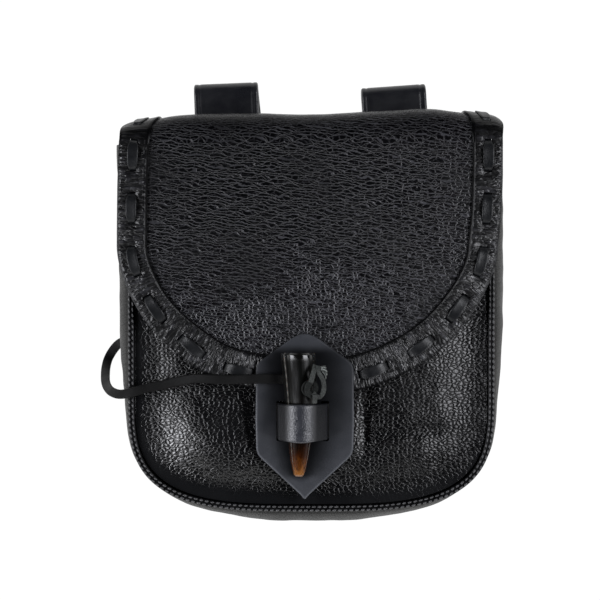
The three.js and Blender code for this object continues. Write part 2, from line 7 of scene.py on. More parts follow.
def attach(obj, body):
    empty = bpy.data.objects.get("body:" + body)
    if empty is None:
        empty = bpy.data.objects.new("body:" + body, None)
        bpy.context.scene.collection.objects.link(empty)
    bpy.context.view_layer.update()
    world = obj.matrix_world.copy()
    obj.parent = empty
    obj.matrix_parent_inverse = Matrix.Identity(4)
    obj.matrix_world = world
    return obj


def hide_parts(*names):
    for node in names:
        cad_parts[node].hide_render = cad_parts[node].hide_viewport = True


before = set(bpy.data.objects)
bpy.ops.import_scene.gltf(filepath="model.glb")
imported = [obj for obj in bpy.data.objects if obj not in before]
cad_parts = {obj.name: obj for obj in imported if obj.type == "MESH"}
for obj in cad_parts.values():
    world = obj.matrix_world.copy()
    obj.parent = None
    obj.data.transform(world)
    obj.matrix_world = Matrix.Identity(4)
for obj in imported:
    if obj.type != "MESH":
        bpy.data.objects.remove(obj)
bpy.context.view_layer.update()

# A black leather belt pouch that lies on its back, closed with a horn toggle. It is seen
# straight from above. Lengths are in millimetres until a mesh or a material is made.
MM = 0.001

camera = bpy.data.objects.new("camera", bpy.data.cameras.new("camera"))
camera.data.lens = 122.7
camera.data.sensor_width = 36
camera.location = (-0.005, 0.0005, 0.95)
bpy.context.scene.collection.objects.link(camera)
bpy.context.scene.camera = camera

# ---------------------------------------------------------------- toggle thong
# A flat thong cut from soft black leather. It is tied through the slanting hole in the
# toggle, runs over the flap and the left edge, and goes through a hole in the gusset to a
# stop knot on the inside.

THONG_WIDTH = 4.2
THONG_THICKNESS = 1.4
# Each point of its route, and the direction of its width there
THONG_ROUTE = [
    ((0.5, -34, 69.4), (0, 1, 0)),
    ((-4.5, -34, 65.2), (0, 1, 0)),
    ((-8.7, -34, 61.7), (0, 1, 0)),
    ((-13.5, -33.9, 60.4), (0, 1, 0)),
    ((-20, -33.7, 60.4), (0, 1, 0)),
    ((-27, -33.9, 59.9), (0, 1, 0)),
    ((-35, -34.2, 58.2), (0, 1, 0.05)),
    ((-43, -34, 57.1), (0, 1, 0.1)),
    ((-51, -33.9, 54.9), (0, 1, 0.1)),
    ((-58, -35.2, 52.2), (0, 1, 0)),
    ((-65, -36.8, 50.5), (0, 1, -0.1)),
    ((-72, -38.2, 49.6), (0, 1, -0.15)),
    ((-79, -40.2, 48.8), (0, 1, -0.2)),
    ((-84.6, -41.2, 45.6), (0.2, 1, -0.2)),
    ((-88.7, -40.4, 39.5), (0.6, 1, 0)),
    ((-91.3, -38.8, 32), (1, 0.9, 0)),
    ((-93, -36.6, 24), (1, 0.5, 0)),
    ((-94, -33.8, 15), (1, 0.1, 0)),
    ((-94.4, -30.4, 7.5), (1, -0.1, 0)),
    ((-93.8, -26.8, 3.4), (1, -0.3, 0)),
    ((-92, -23.4, 3), (1, -0.8, 0)),
    ((-89.6, -20.6, 5.6), (0.7, -1, 0)),
    ((-87.2, -19, 10), (0.2, -1, 0)),
    ((-84.4, -18.6, 13.4), (0, -1, 0)),
    ((-80.2, -18.6, 14.4), (0, -1, 0)),
]


def unit(vectors):
    """Vectors of length 1."""
    return vectors / np.linalg.norm(vectors, axis=-1, keepdims=True)


def smooth_curve(points, steps):
    """Even points on a smooth curve through the given ones, which may have any columns."""
    points = np.array(points, float)
    padded = np.vstack([2 * points[0] - points[1], points, 2 * points[-1] - points[-2]])
    dense = []
    for a, b, c, d in zip(padded[:-3], padded[1:-2], padded[2:-1], padded[3:]):
        for t in np.linspace(0, 1, 16, endpoint=False):
            slopes = (c - a, 2 * a - 5 * b + 4 * c - d, 3 * b - a - 3 * c + d)
            dense.append(b + 0.5 * (slopes[0] * t + slopes[1] * t**2 + slopes[2] * t**3))
    dense = np.array(dense + [points[-1]])
    along = np.append(0, np.cumsum(np.linalg.norm(np.diff(dense[:, :3], axis=0), axis=1)))
    places = np.linspace(0, along[-1], steps)
    return np.stack([np.interp(places, along, column) for column in dense.T], axis=1)


def frames_along(path, widths):
    """The directions of width and of thickness at each point of a strip's path."""
    tangents = unit(np.gradient(path, axis=0))
    across = widths - tangents * np.sum(widths * tangents, axis=1, keepdims=True)
    across = unit(across)
    return across, np.cross(tangents, across)


def strip_section(width, thickness, edge, cup=0.0, crease=0.0, crease_from_edge=2.5):
    """A strip's cross-section: rounded edges, a hollow upper side, two pressed creases."""
    spacing, crease_width = 0.45, 0.5
    half = width / 2 - edge
    corner = np.linspace(-np.pi / 2, np.pi / 2, 7)
    right = np.stack([half + edge * np.cos(corner), thickness / 2 * np.sin(corner)], axis=1)
    over = np.linspace(half, -half, max(int(width / spacing), 9))[1:-1]
    top = np.full_like(over, thickness / 2)
    top -= cup * (1 - (over / half) ** 2)
    from_edge = width / 2 - np.abs(over)
    top -= crease * np.exp(-(((from_edge - crease_from_edge) / crease_width) ** 2))
    top = np.stack([over, top], axis=1)
    under = np.stack([-over[::3], np.full_like(over[::3], -thickness / 2)], axis=1)
    under[:, 1] -= 0.5 * cup * (1 - (under[:, 0] / half) ** 2)
    left = np.stack([-right[::-1, 0], right[::-1, 1]], axis=1)
    return np.vstack([right, top, left, under])


def sweep(path, across, up, section, sizes=None):
    """Corners and faces of a section that is carried along a path, closed at both ends."""
    sizes = np.ones(len(path)) if sizes is None else np.asarray(sizes)
    offset = across[:, None] * section[None, :, :1] + up[:, None] * section[None, :, 1:]
    corners = path[:, None] + offset * sizes[:, None, None]
    sides = len(section)
    ring = np.arange(sides)
    quad = np.stack([ring, np.roll(ring, -1), np.roll(ring, -1) + sides, ring + sides], axis=1)
    faces = [tuple(q + low) for low in np.arange(len(path) - 1) * sides for q in quad]
    faces.append(tuple(ring[::-1]))
    faces.append(tuple(ring + (len(path) - 1) * sides))
    return corners.reshape(-1, 3), faces


def store(mesh, name, value):
    """Keeps a value for each corner of a mesh, for its material to read."""
    stored = mesh.attributes.new(name, "FLOAT", "POINT")
    value = np.broadcast_to(value, len(mesh.vertices))
    stored.data.foreach_set("value", value.astype(np.float32))


def make_piece(name, corners, faces, material, values=None, flat=None, sharp=35):
    """A piece from corners in millimetres, with values and a flat map for its corners."""
    mesh = bpy.data.meshes.new(name)
    mesh.from_pydata((np.asarray(corners) * MM).tolist(), [], [tuple(face) for face in faces])
    for key, value in (values or {}).items():
        store(mesh, key, value)
    if flat is not None:
        corner_of = np.empty(len(mesh.loops), np.int32)
        mesh.loops.foreach_get("vertex_index", corner_of)
        layer = mesh.uv_layers.new(name="along_and_across")
        layer.data.foreach_set("uv", (np.asarray(flat) * MM)[corner_of].astype(np.float32).ravel())
    shape = bmesh.new()
    shape.from_mesh(mesh)
    if shape.calc_volume(signed=True) < 0:
        bmesh.ops.reverse_faces(shape, faces=shape.faces)
    loose = [corner for corner in shape.verts if not corner.link_faces]
    bmesh.ops.delete(shape, geom=loose, context="VERTS")
    shape.to_mesh(mesh)
    shape.free()
    mesh.shade_smooth()
    mesh.set_sharp_from_angle(angle=np.radians(sharp))
    mesh.materials.append(material)
    piece = bpy.data.objects.new(name, mesh)
    bpy.context.scene.collection.objects.link(piece)
    return piece


class Nodes:
    """A material's nodes, added and linked one after the other."""

    def __init__(self, name):
        self.material = bpy.data.materials.new(name)
        self.material.use_nodes = True
        self.tree = self.material.node_tree
        self.shader = self.tree.nodes["Principled BSDF"]

    def add(self, kind, inputs=None, output=0, **settings):
        node = self.tree.nodes.new("ShaderNode" + kind)
        for key, value in settings.items():
            setattr(node, key, value)
        for key, value in (inputs or {}).items():
            self.set(node.inputs[key], value)
        return node.outputs[output]

    def set(self, socket, value):
        if isinstance(value, bpy.types.NodeSocket):
            self.tree.links.new(value, socket)
        else:
            socket.default_value = value

    def math(self, operation, a, b=0.0, c=0.0):
        return self.add("Math", {0: a, 1: b, 2: c}, operation=operation)

    def remap(self, value, low, high, to_low=0.0, to_high=1.0, kind="SMOOTHSTEP"):
        inputs = {"Value": value, 1: low, 2: high, 3: to_low, 4: to_high}
        return self.add("MapRange", inputs, interpolation_type=kind)

    def mix(self, factor, a, b):
        return self.add("Mix", {0: factor, 6: a, 7: b}, 2, data_type="RGBA")

    def noise(self, place, scale, detail, output=0):
        return self.add("TexNoise", {"Vector": place, "Scale": scale, "Detail": detail}, output)

    def bump(self, height, depth):
        return self.add("Bump", {"Height": height, "Distance": depth, "Strength": 1.0})

    def stored(self, name):
        return self.add("Attribute", output=2, attribute_name=name)

    def shade(self, **inputs):
        for key, value in inputs.items():
            self.set(self.shader.inputs[key.replace("_", " ").title().replace("Ior", "IOR")], value)
        return self.material


def smooth_leather(name, colour, wear_and_painted_highlight, roughness, depth, gloss, shaded=False, pore=0.0006):
    """Leather with hardly any grain: fine pores, faint scuffs and uneven gloss."""
    nodes = Nodes(name)
    nodes.shade(specular_ior_level=gloss)
    place = nodes.add("TexCoord", output=3)
    pores = nodes.noise(place, 1 / pore, 3.0)
    cloud = nodes.noise(place, 140.0, 4.0)
    scuff = nodes.noise(place, 420.0, 5.0)
    tone = nodes.math("ADD", nodes.math("MULTIPLY", cloud, 0.6), nodes.math("MULTIPLY", pores, 0.4))
    tone = nodes.remap(tone, 0.35, 0.65)
    height = nodes.math("ADD", pores, nodes.math("MULTIPLY", scuff, 0.6))
    rough = nodes.remap(cloud, 0.3, 0.7, roughness - 0.05, roughness + 0.07)
    base = nodes.mix(tone, colour, wear_and_painted_highlight)
    if shaded:
        # A piece may store a shade that scales its colour and gloss, for painted shade and painted
        # highlight
        shade = nodes.stored("shade")
        base = nodes.add("VectorMath", {0: base, 3: shade}, operation="SCALE")
        nodes.shade(specular_ior_level=nodes.math("MULTIPLY", shade, gloss))
    return nodes.shade(base_color=base, roughness=rough, normal=nodes.bump(height, depth))


thong_leather = smooth_leather(
    "thong_leather", (0.0024, 0.0024, 0.0024, 1), (0.0052, 0.0052, 0.0052, 1),
    roughness=0.58, depth=0.00006, gloss=0.13)

route = smooth_curve([point + width for point, width in THONG_ROUTE], 150)
thong_path, thong_widths = route[:, :3], route[:, 3:]
across, up = frames_along(thong_path, thong_widths)
section = strip_section(THONG_WIDTH, THONG_THICKNESS, edge=0.45, cup=0.10)
corners, faces = sweep(thong_path, across, up, section)
thong = make_piece("toggle_thong_strip", corners, faces, thong_leather, sharp=50)
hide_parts("toggle_thong")
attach(thong, "root")

# ---------------------------------------------------------------- back and flap
# One large piece of pebble-grained black leather makes the back, folds over the top and
# comes down in front as a round flap. Slots for the lace are cut along the flap's edge.

BODY_LEATHER = 1.8
CLEARANCE = 0.3  # between two pieces that touch
HALF_WIDTH = 81.3
CORNER_START = -40  # y where the straight sides turn into the round bottom
CORNER_DEPTH = 53.3
CORNER_POWER = 3.4
BACK_LIFT = 11.1  # height of the back where it lies on the belt loops
BACK_LEVEL_FROM = 14
BACK_LOWEST = 0.4
FOLD_START = 70
FOLD_SQUARENESS = 0.72
FLAP_EDGE_HEIGHT = 47.4
FLAP_DOME = dict(rise=5.2, half_width=86, power=2.4, full_below=20, left_at_fold=0.25)
FOLD_TOP = dict(
    x=(-86, -80, -72, -62, -50, -23, 0, 35, 53, 65, 74, 81, 86),
    y=(76.2, 79, 80.7, 82.8, 83.8, 84, 83.6, 85.3, 86, 84.7, 83.5, 82, 78.3),
)
SIDES_IN_FRONT = dict(
    y=(24, 38, 55, 70),
    left=(85.2, 85.2, 85.1, 84.6),
    right=(81.7, 83.2, 84, 84.2),
)
SIDES_OVER_FOLD = dict(
    part=(0, 0.25, 0.5, 1),
    left=(84.6, 83, 80, 81.3),
    right=(84.2, 83.4, 80.8, 81.3),
)
# The flap's lower edge: a turn of 0 is its middle and 90 its side
FLAP_EDGE = dict(
    turn=(0, 15, 30, 45, 60, 75, 90),
    left=(-40.5, -38.8, -33.6, -21.7, -7, 10.2, 25),
    right=(-40.5, -38.9, -31.6, -20.2, -4.7, 11, 25),
)


def read_table(rows, key, place, column):
    """A column's value at a place between a table's rows, on a smooth curve through them."""
    at, value = np.array(rows[key], float), np.array(rows[column], float)
    before = np.maximum(np.arange(len(at)) - 1, 0)
    after = np.minimum(np.arange(len(at)) + 1, len(at) - 1)
    slope = (value[after] - value[before]) / (at[after] - at[before])
    low = np.searchsorted(at[1:-1], place, side="left")
    span = at[low + 1] - at[low]
    t = np.clip((place - at[low]) / span, 0, 1)
    rise = (t**3 - 2 * t**2 + t) * span * slope[low]
    fall = (t**3 - t**2) * span * slope[low + 1]
    return value[low] + (value[low + 1] - value[low]) * t**2 * (3 - 2 * t) + rise + fall


def ease(value, low, high):
    """0 below low, 1 above high, and a smooth step between them."""
    t = np.clip((value - low) / (high - low), 0, 1)
    return t * t * (3 - 2 * t)


def seam_bottom(part, inset=0.0):
    """The seam's lowest y at a part of the half-width, 0 in the middle and 1 at the side."""
    left = np.clip(1 - np.abs(part) ** CORNER_POWER, 0, 1)
    return CORNER_START - (CORNER_DEPTH - inset) * left ** (1 / CORNER_POWER)


def back_rear(y):
    """Height of the back's rear face."""
    down = (BACK_LEVEL_FROM - y) / (BACK_LEVEL_FROM - seam_bottom(0))
    return BACK_LIFT + (BACK_LOWEST - BACK_LIFT) * np.clip(down, 0, 1) ** 1.3


def flap_inner(x, y):
    """Height of the flap's inner side in front."""
    fade = ease(y, FLAP_DOME["full_below"], FOLD_START)
    left = 1 + (FLAP_DOME["left_at_fold"] - 1) * fade
    out = np.minimum(np.abs(x) / FLAP_DOME["half_width"], 1) ** FLAP_DOME["power"]
    return FLAP_EDGE_HEIGHT + FLAP_DOME["rise"] * left * (1 - out)


fold_height = (FLAP_EDGE_HEIGHT - BACK_LIFT - BODY_LEATHER) / 2
fold_reach = read_table(FOLD_TOP, "x", 0, "y") - FOLD_START
fold_length = np.pi * np.hypot(fold_reach, fold_height) / np.sqrt(2)


def leather_inner(x, place):
    """The leather's inner side at a distance across and a place along. A place is the y of
    the flap in front, and runs on over the fold and down the back."""
    x, place = np.broadcast_arrays(np.asarray(x, float), np.asarray(place, float))
    y_behind = 2 * FOLD_START + fold_length - place
    angle = np.pi * np.clip((place - FOLD_START) / fold_length, 0, 1)
    front = flap_inner(x, FOLD_START)
    back = back_rear(FOLD_START) + BODY_LEATHER
    top = read_table(FOLD_TOP, "x", x, "y") - BODY_LEATHER
    reach = np.sin(angle) ** FOLD_SQUARENESS
    rise = np.sign(np.cos(angle)) * np.abs(np.cos(angle)) ** FOLD_SQUARENESS
    y = FOLD_START + (top - FOLD_START) * reach
    z = (front + back) / 2 + (front - back) / 2 * rise
    y = np.where(place <= FOLD_START, place, np.where(angle >= np.pi, y_behind, y))
    z = np.where(place <= FOLD_START, flap_inner(x, place), z)
    z = np.where(angle >= np.pi, back_rear(y_behind) + BODY_LEATHER, z)
    return np.stack([x, y, z], axis=-1)


def leather_normal(x, place):
    """The direction out of the leather's outer face."""
    step = 0.5
    across = leather_inner(x + step, place) - leather_inner(x - step, place)
    along = leather_inner(x, place + step) - leather_inner(x, place - step)
    return unit(np.cross(across, along))


def slow_noise(x, y, size, seed):
    """Smooth noise from -1 to 1 for arrays of places, with swells of about a size."""
    shape = np.shape(x)
    spots = zip(np.ravel(x) / size, np.ravel(y) / size)
    return np.array([noise.noise((a, b, seed)) for a, b in spots]).reshape(shape)


def on_leather(x, place, height):
    """Points at a height over the leather's inner side."""
    return leather_inner(x, place) + leather_normal(x, place) * np.asarray(height)[..., None]


def side_at(place, side):
    """The distance from the middle to the leather's left or right edge."""
    in_front = read_table(SIDES_IN_FRONT, "y", place, side)
    part = (place - FOLD_START) / fold_length
    return np.where(place <= FOLD_START, in_front, read_table(SIDES_OVER_FOLD, "part", part, side))


def across_at(place, part):
    """The distance across at a part of the width, -1 at the left edge and 1 at the right."""
    return part * np.where(part < 0, side_at(place, "left"), side_at(place, "right"))


def flap_edge_at(turn):
    """The y of the flap's lower edge at a turn, which is negative on the left."""
    left = read_table(FLAP_EDGE, "turn", np.abs(turn), "left")
    return np.where(turn < 0, left, read_table(FLAP_EDGE, "turn", np.abs(turn), "right"))


def evenly(line, count):
    """Points at even distances along a line, their tangents, and the distances."""
    along = np.append(0, np.cumsum(np.linalg.norm(np.diff(line, axis=0), axis=1)))
    places = np.linspace(0, along[-1], count)
    points = np.stack([np.interp(places, along, column) for column in line.T], axis=1)
    return points, unit(np.gradient(points, axis=0)), places


def move_inside(points, tangents, inset):
    """A line moved towards the inside of its U."""
    inward = np.stack([-tangents[:, 1], tangents[:, 0]], axis=1)
    return points + inward * np.reshape(inset, (-1, 1)), inward


def flap_edge_line(count, reach=0.72):
    """The flap's edge in distances across and places along, from behind the fold."""
    top = FOLD_START + reach * fold_length
    place = np.linspace(top, flap_edge_at(90), 120)
    turn = np.linspace(-90, 90, 361)
    edge = flap_edge_at(turn)
    left = np.stack([across_at(place, -1), place], axis=1)
    round_edge = np.stack([across_at(edge, np.sin(np.radians(turn))), edge], axis=1)
    right = np.stack([across_at(place, 1), place], axis=1)[::-1]
    return evenly(np.vstack([left[:-1], round_edge, right[1:]]), count)


# The lace runs along a line inside the flap's edge, in and out of pairs of slots
BAND_LEATHER = 1.2
BAND_OUTER = BODY_LEATHER + CLEARANCE + BAND_LEATHER
LACE_INSET = 6.4
STITCH_LENGTH = 12.8
STITCH_PITCH = 23.3
FIRST_STITCH = dict(left=31.7, right=27.7)  # distances from the lace's lowest point
STITCHES_PER_SIDE = 7
SLOT_LENGTH = 1.2
SLOT_WIDTH = 3.8

edge_points, edge_tangents, _ = flap_edge_line(800)
lace_points, lace_tangents, lace_along = evenly(
    move_inside(edge_points, edge_tangents, LACE_INSET)[0], 1000)
lace_lowest = lace_along[np.argmin(lace_points[:, 1])]
stitch_middles = []
for stitch in range(STITCHES_PER_SIDE):
    stitch_middles.append(FIRST_STITCH["right"] + stitch * STITCH_PITCH)
    stitch_middles.insert(0, -FIRST_STITCH["left"] - stitch * STITCH_PITCH)


def on_lace_line(distance):
    """The place, tangent and inward direction at distances from the lace's lowest point."""
    at = np.asarray(distance, float) + lace_lowest
    point = np.stack([np.interp(at, lace_along, c) for c in lace_points.T], axis=-1)
    tangent = unit(np.stack([np.interp(at, lace_along, c) for c in lace_tangents.T], axis=-1))
    return point, tangent, np.stack([-tangent[..., 1], tangent[..., 0]], axis=-1)


def lowered_at(place):
    """A height to add, less than 0 over the fold, where band and lace lie closer to the flap."""
    return -0.1 * ease(place, FOLD_START - 10, FOLD_START + 4)


def lace_frames(distances, heights):
    """Points over the lace's line, with the directions across it and away from it."""
    point, _, inward = on_lace_line(distances)
    heights = np.asarray(heights) + np.where(np.asarray(heights) > 0, lowered_at(point[:, 1]), 0)
    inner = on_leather(*(point + inward).T, heights)
    outer = on_leather(*(point - inward).T, heights)
    return on_leather(*point.T, heights), unit(inner - outer), leather_normal(*point.T)


def grid_solid(lower, upper, keep=None):
    """Corners and faces of a closed sheet between two grids of points. A cell that isn't
    kept is a hole with walls."""
    rows, columns = lower.shape[:2]
    keep = np.ones((rows - 1, columns - 1), bool) if keep is None else keep
    index = np.arange(rows * columns).reshape(rows, columns)
    a, b, c, d = index[:-1, :-1], index[1:, :-1], index[1:, 1:], index[:-1, 1:]
    layer = rows * columns
    faces = [np.stack([a, b, c, d], -1)[keep], np.stack([d, c, b, a], -1)[keep] + layer]
    around = np.pad(keep, 1)
    for row, column, p, q in ((0, -1, a, b), (1, 0, b, c), (0, 1, c, d), (-1, 0, d, a)):
        beside = around[1 + row : rows + row, 1 + column : columns + column]
        at_edge = keep & ~beside
        p, q = p[at_edge], q[at_edge]
        faces.append(np.stack([q, p, p + layer, q + layer], -1))
    return np.vstack([lower.reshape(-1, 3), upper.reshape(-1, 3)]), np.vstack(faces)


def cut_away(piece, tools, sharp):
    """Cuts closed meshes out of a piece."""
    cutter = bpy.data.objects.new("cutter", bpy.data.meshes.new("cutter"))
    corners, faces = [], []
    for tool_corners, tool_faces in tools:
        faces += [tuple(int(i) + len(corners) for i in face) for face in tool_faces]
        corners += (np.asarray(tool_corners) * MM).tolist()
    cutter.data.from_pydata(corners, [], faces)
    shape = bmesh.new()
    shape.from_mesh(cutter.data)
    bmesh.ops.recalc_face_normals(shape, faces=shape.faces)
    shape.to_mesh(cutter.data)
    shape.free()
    bpy.context.scene.collection.objects.link(cutter)
    cut = piece.modifiers.new("cut", "BOOLEAN")
    cut.operation = "DIFFERENCE"
    cut.solver = "MANIFOLD"
    cut.object = cutter
    graph = bpy.context.evaluated_depsgraph_get()
    mesh = bpy.data.meshes.new_from_object(piece.evaluated_get(graph))
    piece.modifiers.clear()
    piece.data = mesh
    piece.data.set_sharp_from_angle(angle=np.radians(sharp))
    bpy.data.objects.remove(cutter)


def wander(nodes, place, size, amount):
    """A place moved about by slow noise, so that a pattern isn't regular."""
    moved = nodes.noise(place, 1 / size, 2.0, output=1)
    moved = nodes.add("VectorMath", {0: moved, 1: (0.5, 0.5, 0.5)}, operation="SUBTRACT")
    reach = (amount, amount, amount)
    return nodes.add("VectorMath", {0: moved, 1: reach, 2: place}, operation="MULTIPLY_ADD")


def pebbled_leather(name, colour, crease, roughness, pebble, depth, gloss=0.5, drawn=None,
                    drawn_lean=0.05, polished=False, stretch=(0.9, 1.15, 1)):
    """Leather with a pebble grain: low pebbles between narrow creases. Where it is drawn,
    the creases join into long wavy lines across the pull."""
    pressed_flat = (0.0065, 0.0068, 0.0076, 1)
    nodes = Nodes(name)
    nodes.shade(specular_ior_level=gloss)
    place = nodes.add("UVMap", uv_map="along_and_across")
    moved = wander(nodes, place, pebble * 3.2, pebble * 0.9)
    moved = wander(nodes, moved, pebble, pebble * 0.45)

    def pebbles(shape, finer=1.0):
        """How far a place is out of the creases between pebbles, and its height."""
        spot = nodes.add("Mapping", {"Vector": moved, "Scale": shape})
        edge = nodes.add(
            "TexVoronoi", {"Vector": spot, "Scale": finer / pebble, "Randomness": 0.95},
            feature="DISTANCE_TO_EDGE", voronoi_dimensions="2D")
        wall = nodes.math("MULTIPLY", nodes.remap(edge, 0.0, 0.14), 0.55)
        height = nodes.math("MULTIPLY_ADD", nodes.remap(edge, 0.0, 0.5), 0.45, wall)
        return nodes.remap(edge, 0.02, 0.15), height

    def lines(spot, lean, pitch):
        """Distance from the nearest of many wavy lines a pitch apart, in pebbles."""
        across_them = unit([lean, 1, 0]) / pitch
        across = nodes.add("VectorMath", {0: spot, 1: across_them.tolist()}, 1, operation="DOT_PRODUCT")
        return nodes.math("MULTIPLY", nodes.math("PINGPONG", across, 0.5), pitch / pebble)

    wall, height = pebbles(stretch)
    if drawn is not None:
        low, high = drawn
        spot = nodes.add("SeparateXYZ", {0: place}).node.outputs
        sideways = nodes.math("ABSOLUTE", spot[0])
        along = nodes.math("MULTIPLY_ADD", sideways, 0.3, spot[1])
        cloud = nodes.noise(place, 28.0, 1.0)
        along = nodes.math("MULTIPLY_ADD", nodes.math("SUBTRACT", cloud, 0.5), 0.08, along)
        share = nodes.remap(along, low, high)
        # Between the two the grain changes over in patches a few pebbles wide
        change = nodes.noise(place, 0.3 / pebble, 1.0)
        share = nodes.math("MULTIPLY_ADD", nodes.math("SUBTRACT", change, 0.5), 1.4, share)
        share = nodes.remap(share, 0.25, 0.75)
        # Slow noise that is longer than it is high makes neighbouring lines meet and part
        pulled = nodes.add("Mapping", {"Vector": moved, "Scale": (0.35, 1.0, 1)})
        pulled = nodes.noise(pulled, 0.42 / pebble, 1.0)
        pulled = nodes.math("MULTIPLY", nodes.math("SUBTRACT", pulled, 0.5), pebble * 2.6)
        pulled = nodes.add("CombineXYZ", {1: pulled})
        pulled = nodes.add("VectorMath", {0: moved, 1: pulled}, operation="ADD")
        first = lines(pulled, drawn_lean, pebble)
        second = lines(moved, drawn_lean - 0.5, pebble * 2.9)
        third = lines(moved, drawn_lean + 0.5, pebble * 3.6)
        # The crossing lines are fainter than the long ones
        near = nodes.math("MINIMUM", first, nodes.math("ADD", second, 0.05))
        near = nodes.math("MINIMUM", near, nodes.math("ADD", third, 0.06))
        long_wall = nodes.remap(near, 0.02, 0.17)
        few_wall, few_height = pebbles((0.5, 1.0, 1), finer=0.9)
        long_wall = nodes.math("MULTIPLY", long_wall, nodes.math("MULTIPLY_ADD", few_wall, 0.2, 0.8))
        long_height = nodes.math("MULTIPLY_ADD", few_height, 0.2, long_wall)
        # Where it isn't drawn the lines go on faintly among the pebbles
        height = nodes.math("MINIMUM", height, nodes.math("MULTIPLY_ADD", long_height, 0.6, 0.3))
        wall = nodes.math("MINIMUM", wall, nodes.math("MULTIPLY_ADD", long_wall, 0.7, 0.3))
        height = nodes.add("Mix", {0: share, 2: height, 3: long_height}, data_type="FLOAT")
        wall = nodes.add("Mix", {0: share, 2: wall, 3: long_wall}, data_type="FLOAT")
    # Creases are deeper here and shallower there
    uneven = nodes.noise(place, 0.7 / pebble, 2.0)
    uneven = nodes.remap(uneven, 0.36, 0.58, 0.3, 1.0)
    in_crease = nodes.math("MULTIPLY", nodes.math("SUBTRACT", 1.0, wall), uneven)
    wall = nodes.math("SUBTRACT", 1.0, in_crease)
    pores = nodes.noise(place, 2400.0, 2.0)
    height = nodes.math("MULTIPLY_ADD", pores, 0.04, height)
    swell = nodes.noise(place, 0.35 / pebble, 2.0)
    height = nodes.math("MULTIPLY_ADD", swell, 0.8, height)
    amount = nodes.stored("grain")
    height = nodes.math("MULTIPLY", height, amount)
    patches = nodes.noise(place, 30.0, 3.0)
    rough = nodes.remap(patches, 0.35, 0.65, roughness - 0.03, roughness + 0.04)
    if drawn is not None:
        # The creases' painted colour is strongest lower down and towards the right, and fades towards
        # the pebbles' colour higher up and on the left
        faint_above = nodes.remap(spot[1], -0.02, 0.07, 0.0, 0.45)
        faint_left = nodes.remap(spot[0], -0.03, 0.06, 0.25, 0.0)
        faint = nodes.math("ADD", faint_above, faint_left)
        faint = nodes.math("ADD", faint, nodes.remap(patches, 0.35, 0.65, -0.15, 0.15))
        wall = nodes.math("MAXIMUM", wall, faint)
    if polished:
        shine = nodes.math("MULTIPLY_ADD", nodes.stored("polish"), 0.6, gloss)
        nodes.shade(specular_ior_level=shine)
    # The creases' own colour stands in for light: paler creases are painted highlight, darker ones
    # painted shade
    tone = nodes.mix(amount, pressed_flat, nodes.mix(wall, crease, colour))
    return nodes.shade(base_color=tone, roughness=rough, normal=nodes.bump(height, depth))


# Its creases are painted pale, as painted highlight on the walls of the drawn lines
body_leather = pebbled_leather(
    "pebbled_body_leather", (0.0010, 0.0010, 0.0015, 1), (0.080, 0.080, 0.089, 1),
    roughness=0.24, pebble=0.00138, depth=0.00018, drawn=(-0.045, 0.060), drawn_lean=0.12,
    polished=True, stretch=(0.7, 1.05, 1))

# Columns across it, closer together near its edges
share = np.linspace(-1, 1, 151)
parts = 0.25 * share + 0.75 * np.sin(share * np.pi / 2)
turns = np.degrees(np.arcsin(np.clip(parts, -1, 1)))
fold_end = FOLD_START + fold_length
foot = FOLD_START + fold_end - seam_bottom(parts)
level = FOLD_START + fold_end - BACK_LEVEL_FROM


def between(start, end, rows, columns):
    """Even rows from a start up to an end, without the end."""
    t = np.linspace(0, 1, rows, endpoint=False)[:, None] * np.ones(columns)
    return start + (end - start) * t


places = np.vstack([
    between(foot, level, 44, len(parts)),
    between(level, fold_end, 22, len(parts)),
    between(fold_end, FOLD_START, 40, len(parts)),
    between(FOLD_START, flap_edge_at(turns), 96, len(parts)),
    flap_edge_at(turns),
])
x = across_at(places, np.broadcast_to(parts, places.shape))
ripple = 0.30 * slow_noise(x, places, size=21, seed=3.1)
ripple += 0.14 * slow_noise(x, places, size=8, seed=7.7)
# It is flat under the patch, and under the band at both sides
under_patch = np.exp(-((x + 3) / 26) ** 4 - ((places + 30) / 24) ** 4)
off_band = ease(side_at(places, "left") - np.abs(x), 16, 26)
ripple = ripple * (1 - under_patch)
ripple = np.where(places <= fold_end, ripple * off_band, 0.5 * ripple)
lower = on_leather(x, places, ripple * 0.6)
upper = on_leather(x, places, BODY_LEATHER + ripple)
corners, faces = grid_solid(lower, upper)
flat = np.vstack([np.stack([x, places], axis=-1).reshape(-1, 2)] * 2)
back_and_flap = make_piece("back_and_flap_leather", corners, faces, body_leather, flat=flat)

slot_tools = []
for middle in stitch_middles:
    for end in (-1, 1):
        distance = middle + end * STITCH_LENGTH / 2
        at, side, away = lace_frames([distance, distance], [-1.6, BAND_OUTER + 1.5])
        box = np.array([[-1, -1], [1, -1], [1, 1], [-1, 1]]) * (SLOT_WIDTH / 2, SLOT_LENGTH / 2)
        slot_tools.append(sweep(at, side, np.cross(away, side), box))
cut_away(back_and_flap, slot_tools, sharp=35)
store(back_and_flap.data, "grain", 1)
# The fold at the top is duller
corner_y = np.array([corner.co.y for corner in back_and_flap.data.vertices]) / MM
store(back_and_flap.data, "polish", -0.75 * ease(corner_y, 66, 79))
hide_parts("back_and_flap")
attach(back_and_flap, "root")

# ---------------------------------------------------------------- flap band
# A strip of thinner leather lies round the flap's edge and over the ends of the fold. Its
# inner edge is turned under and stands up as a fine ridge, and the lace puckers it.

BAND_SIDE = 13.2
BAND_BOTTOM = 15.6
PUCKER = 0.30

stations, tangents, band_along = flap_edge_line(900)
widths = BAND_BOTTOM + (BAND_SIDE - BAND_BOTTOM) * ease(stations[:, 1], -40, 20)
part_across = np.linspace(0, 1, 27)
grid = np.stack([move_inside(stations, tangents, widths * part)[0] for part in part_across])
from_edge = widths[None] * part_across[:, None]
